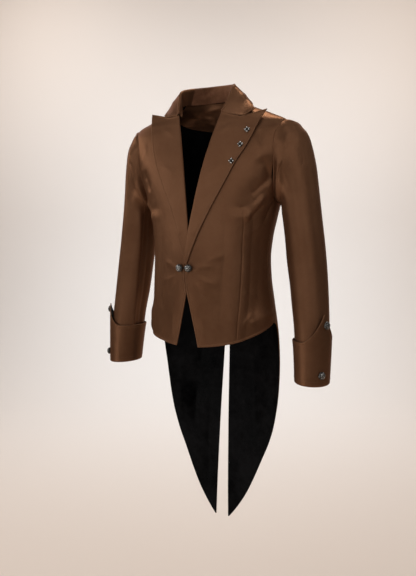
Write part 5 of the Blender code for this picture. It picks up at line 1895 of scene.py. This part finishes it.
@dataclass(frozen=True)
class DomedButton:
    """A domed silver button: a rope round its rim, a ring of beads and a raised rosette."""

    radius: float = 0.0094
    dome: float = 0.0062
    rim: float = 0.0014
    rope_at: float = 0.93
    rope_width: float = 0.055
    rope_height: float = 0.0005
    rope_least: float = 0.55
    rope_lean: float = 9.0
    rope_from: float = 0.85
    strands: int = 30
    beads_at: float = 0.73
    beads_width: float = 0.05
    beads_height: float = 0.00042
    bead_power: float = 0.8
    beads: int = 22
    petals: int = 8
    petals_at: float = 0.38
    petals_width: float = 0.2
    petal_gap: float = 0.12
    petal_power: float = 0.6
    vein_depth: float = 0.5
    vein_width: float = 0.1
    boss_share: float = 0.15
    boss_rise: float = 0.0003
    ground: float = 0.0002
    lift_out: float = 0.35
    foot: float = 0.3
    flat: float = 0.8
    back_level: float = 0.2
    sides: int = 132
    rings: int = 44

    def ornament(self, share: Array, turn: Array) -> Array:
        """How high the ornament stands, from 0 in its ground to 1."""
        off_rope = (share - self.rope_at) / self.rope_width
        strand = np.cos(self.strands * turn + self.rope_lean * off_rope)
        rope = (self.rope_least + (1 - self.rope_least) * strand) * np.exp(-off_rope ** 4)
        bead = np.clip(np.cos(self.beads * turn), 0.0, 1.0) ** self.bead_power
        beads = bead * np.exp(-((share - self.beads_at) / self.beads_width) ** 4)
        petal = np.cos(self.petals * turn / 2) ** 2 - self.petal_gap
        petal = np.clip(petal, 0.0, 1.0) ** self.petal_power
        middle = (share - self.petals_at) / self.petals_width
        flower = petal * np.clip(1 - middle * middle, 0.0, 1.0) ** 0.5
        off_vein = np.sin(self.petals * turn / 2) / self.vein_width
        vein = 1 - self.vein_depth * np.exp(-off_vein ** 2)
        boss = np.clip(1 - (share / self.boss_share) ** 2, 0.0, 1.0) ** 0.5
        return np.clip(rope + beads + flower * vein + boss, 0.0, 1.0)

    def make(self, name: str, place: Array, facing: Array, finish: Material) -> Object:
        """The button on a place."""
        turn = np.linspace(0.0, 2 * math.pi, self.sides, endpoint=False)[None, :]
        share = (np.linspace(0.0, 1.0, self.rings)[1:, None]) ** 0.9
        angle = share * math.pi / 2
        height = self.rim + self.dome * np.cos(angle) ** 0.9
        relief = self.ornament(share, turn)
        radius = self.radius * np.sin(angle) ** 0.95
        high = np.where(share > self.rope_from, self.rope_height, self.beads_height)
        lift = relief * high - self.ground
        grow = np.sin(angle) * self.lift_out
        rings = circles(radius + lift * grow, turn, height + lift * np.cos(angle) ** 0.5)
        back = [circles(self.radius, turn, self.rim * self.foot),
                circles(self.radius * self.flat, turn, 0.0)]
        rings = np.concatenate([rings, *back])
        tip = self.rim + self.dome + self.boss_rise
        points = np.concatenate([[[0, 0, tip]], rings.reshape(-1, 3), [[0, 0, 0]]])
        hidden = np.full(len(back) * self.sides + 1, self.back_level)
        level = np.concatenate([[1.0], relief.reshape(-1), hidden])
        faces = turned(0, len(rings), self.sides)
        return metal_piece(name, points, faces, level, oriented(place, facing), finish)


@dataclass(frozen=True)
class PearlStud:
    """A small stud: four silver pearls and a bead in a cross on a round plate."""

    pearl: float = 0.0024
    reach: float = 0.0046
    base: float = 0.0056
    plate: float = 0.0008
    rise: float = 0.0011
    middle: float = 0.0019
    middle_rise: float = 0.0006
    plate_level: float = 0.05
    middle_level: float = 0.1
    crown_level: float = 0.45
    crown_gain: float = 0.8
    profile: tuple[Span, ...] = ((1.0, 0.0), (1.0, 0.6), (0.92, 1.0), (0.6, 1.0))
    sides: int = 28
    rings: int = 14

    def ball(self, radius: float, centre: Triple, start: int) -> tuple[Array, Faces, Array]:
        """The points, faces and relief of one ball."""
        turn = np.linspace(0.0, 2 * math.pi, self.sides, endpoint=False)[None, :]
        lean = np.linspace(0.0, math.pi, self.rings + 1)[1:-1, None]
        grid = circles(np.sin(lean), turn, np.cos(lean)).reshape(-1, 3)
        points = np.concatenate([[[0, 0, 1]], grid, [[0, 0, -1]]]) * radius + np.array(centre)
        level = (points[:, 2] - centre[2]) / radius * self.crown_gain + self.crown_level
        return points, turned(start, self.rings - 1, self.sides), np.clip(level, 0.0, 1.0)

    def make(self, name: str, place: Array, facing: Array, finish: Material) -> Object:
        """The stud on a place."""
        turn = np.linspace(0.0, 2 * math.pi, self.sides, endpoint=False)
        rings = [circles(wide * self.base, turn, high * self.plate)
                 for wide, high in self.profile]
        points = [np.concatenate(rings)]
        top = (len(rings) - 1) * self.sides
        faces = bands(0, len(rings), self.sides)
        faces += [list(range(self.sides))[::-1], list(range(top, top + self.sides))]
        levels = [np.full(len(points[0]), self.plate_level)]
        spots = [(self.pearl, (self.reach * x, self.reach * y, self.rise), 1.0)
                 for x, y in ((1, 0), (0, 1), (-1, 0), (0, -1))]
        spots.append((self.middle, (0.0, 0.0, self.rise + self.middle_rise), self.middle_level))
        for radius, centre, bright in spots:
            ball, sides, level = self.ball(radius, centre, sum(len(part) for part in points))
            points.append(ball)
            faces += sides
            levels.append(level * bright)
        return metal_piece(name, np.concatenate(points), faces, np.concatenate(levels),
                           oriented(place, facing), finish)


class Spot(NamedTuple):
    """A place on the front or the lapel."""

    name: str
    breadth: float
    height: float


class CuffSpot(NamedTuple):
    """A place on the cuff."""

    name: str
    turn: float
    rise: float


@dataclass
class Fastenings:
    """The link at the waist, the cuffs' buttons and the lapel's studs."""

    torso: Torso
    lapels: Lapels
    cuffs: Cuffs
    finishes: Finishes
    button: DomedButton = DomedButton()
    stud: PearlStud = PearlStud()
    link_seat: float = 0.0037
    link_tilt: float = 10.0
    seam_gap: float = 0.0003
    stud_seat: float = 0.0012
    link: tuple[Spot, ...] = (Spot("left", 0.008, -0.412), Spot("right", -0.018, -0.4125))
    cuff: tuple[CuffSpot, ...] = (CuffSpot("upper", 66.0, 0.144), CuffSpot("lower", 52.0, 0.024))
    studs: tuple[Spot, ...] = (Spot("1", 0.1345, -0.084), Spot("2", 0.1215, -0.118),
                               Spot("3", 0.1035, -0.157))

    def build(self) -> None:
        """Make them all, and dress the link's bar."""
        for spot in self.link:
            y = float(self.torso.front_y(np.array(spot.height), np.array(spot.breadth)))
            place = np.array([spot.breadth, y - CLOTH - self.link_seat, spot.height])
            facing = unit(np.array([self.link_tilt * spot.breadth, -1.0, 0.0]))
            piece = self.button.make(f"link_dome_{spot.name}", place, facing, self.finishes.silver)
            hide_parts(f"link_button_{spot.name}")
        for side in Side:
            mirror = np.array([side.value, 1.0, 1.0])
            for spot in self.cuff:
                place, facing = self.cuffs.face(side, spot.turn, spot.rise)
                place = place + facing * self.seam_gap
                piece = self.button.make(f"cuff_dome_{spot.name}_{side.word}", place * mirror,
                                         facing * mirror, self.finishes.silver)
                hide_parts(f"cuff_button_{spot.name}_{side.word}")
        for spot in self.studs:
            place, facing = self.lapels.face(spot.breadth, spot.height)
            place = place + facing * (self.seam_gap + self.stud_seat)
            piece = self.stud.make(f"pearl_stud_{spot.name}", place, facing, self.finishes.silver)
            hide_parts(f"lapel_stud_{spot.name}")
        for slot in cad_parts["link_bar"].material_slots:
            slot.material = self.finishes.silver
        LOG.info("link_bar")


# Studio


@dataclass
class Backdrop:
    """A seamless sweep of pale paper under and behind the coat."""

    floor: float = -1.62
    near: float = -3.5
    far: float = 2.6
    radius: float = 1.4
    top: float = 3.2
    half_width: float = 5.0
    turn: float = 29.0
    floor_rows: int = 12
    steps: int = 24
    wall_rows: int = 8
    columns: int = 16
    # Where the paper's painted pool of light is brightest.
    centre: Triple = (0.0, 3.8, -0.8)

    def build(self) -> None:
        """Make the sweep."""
        profile = [(y, self.floor) for y in np.linspace(self.near, self.far, self.floor_rows)]
        for angle in np.linspace(0.0, 90.0, self.steps)[1:]:
            profile.append((self.far + self.radius * math.sin(math.radians(angle)),
                            self.floor + self.radius * (1 - math.cos(math.radians(angle)))))
        profile += [(self.far + self.radius, z)
                    for z in np.linspace(self.floor + self.radius, self.top, self.wall_rows)[1:]]
        breadth = np.linspace(-self.half_width, self.half_width, self.columns)
        points = np.array([(x, y, z) for y, z in profile for x in breadth])
        faces = quads(np.arange(len(points)).reshape(-1, self.columns)).tolist()
        sweep = new_piece("studio_sweep", points, faces, Paper(self.centre).make())
        sweep.rotation_euler = (0.0, 0.0, math.radians(self.turn))


class Softbox(NamedTuple):
    """A square light: where it stands, how strong and how wide it is, and what it points at."""

    name: str
    place: Triple
    power: float
    width: float = 1.2
    target: Triple = (0.0, 0.0, -0.42)


@dataclass
class Studio:
    """The lights and the camera."""

    lights: tuple[Softbox, ...] = (
        Softbox("wide left", (-2.82, 0, 0.61), 15.0),
        Softbox("key left", (-2.51, -1.45, 0.36), 8.0),
        Softbox("key", (-1.62, -2.31, 0.61), 5.0),
        Softbox("key top", (-1.22, -1.74, 1.7), 2.5),
        Softbox("front", (-0.49, -2.78, 0.61), 5.5),
        Softbox("front top", (-0.37, -2.09, 1.7), 2.0),
        Softbox("low front", (0.77, -2.89, -0.16), 5.5),
        Softbox("front right", (0.7, -2.63, 0.85), 2.5),
        Softbox("right", (1.81, -2.16, 0.61), 5.5),
        Softbox("side right", (2.63, -1.22, 0.36), 6.0),
        Softbox("side top", (2.08, -0.97, 1.51), 5.0),
        Softbox("high right", (2.12, 0, 1.7), 3.5),
        Softbox("back right", (2.44, 1.41, 0.61), 3.0),
        Softbox("top", (0, -0.78, 2.48), 5.0),
        Softbox("hair", (0, 1.03, 2.4), 44.0),
        Softbox("floor bounce", (-1.04, -1.8, -1.4), 9.0),
        Softbox("paper left", (-2.6, 1.2, 1.6), 32.0, 1.6, (-1.6, 3.6, -0.9)),
        Softbox("paper right", (0.6, 2.6, 1.6), 38.0, 1.6, (-1.0, 3.9, -0.9)),
    )
    air: Triple = (1.0, 0.98, 0.96)
    air_strength: float = 0.065
    lens: float = 39.15
    camera_place: Triple = (0.7854, -1.4169, -0.31)
    camera_turn: Triple = (84.347, 0.0, 29.0)

    def build(self) -> None:
        """Place the lights, the air's glow and the camera."""
        scene = bpy.context.scene
        for box in self.lights:
            data = bpy.data.lights.new(box.name, "AREA")
            data.energy, data.size, data.color = box.power, box.width, self.air
            light = bpy.data.objects.new(box.name, data)
            light.location = box.place
            way = Vector(box.target) - light.location
            light.rotation_euler = way.to_track_quat("-Z", "Y").to_euler()
            scene.collection.objects.link(light)
        world = bpy.data.worlds.new("studio air")
        world.use_nodes = True
        glow = world.node_tree.nodes["Background"]
        glow.inputs["Color"].default_value = opaque(self.air)
        glow.inputs["Strength"].default_value = self.air_strength
        scene.world = world
        scene.view_settings.view_transform = "Standard"
        data = bpy.data.cameras.new("camera")
        data.lens = self.lens
        camera = bpy.data.objects.new("camera", data)
        camera.location = self.camera_place
        camera.rotation_euler = tuple(math.radians(turn) for turn in self.camera_turn)
        scene.collection.objects.link(camera)
        scene.camera = camera


def main() -> None:
    """Dress the coat, piece by piece, and set up its studio."""
    logging.basicConfig(level=logging.INFO, format="%(name)s %(message)s")
    finishes, torso = Finishes(), Torso()
    Studio().build()
    Backdrop().build()
    Fronts(torso, finishes).build()
    Backs(torso, finishes).build()
    lapels = Lapels(torso, finishes)
    lapels.build()
    Collar(lapels, finishes).build()
    sleeves = Sleeves(torso, finishes)
    sleeves.build()
    cuffs = Cuffs(sleeves, finishes)
    cuffs.build()
    Fastenings(torso, lapels, cuffs, finishes).build()


if __name__ == "__main__":
    main()
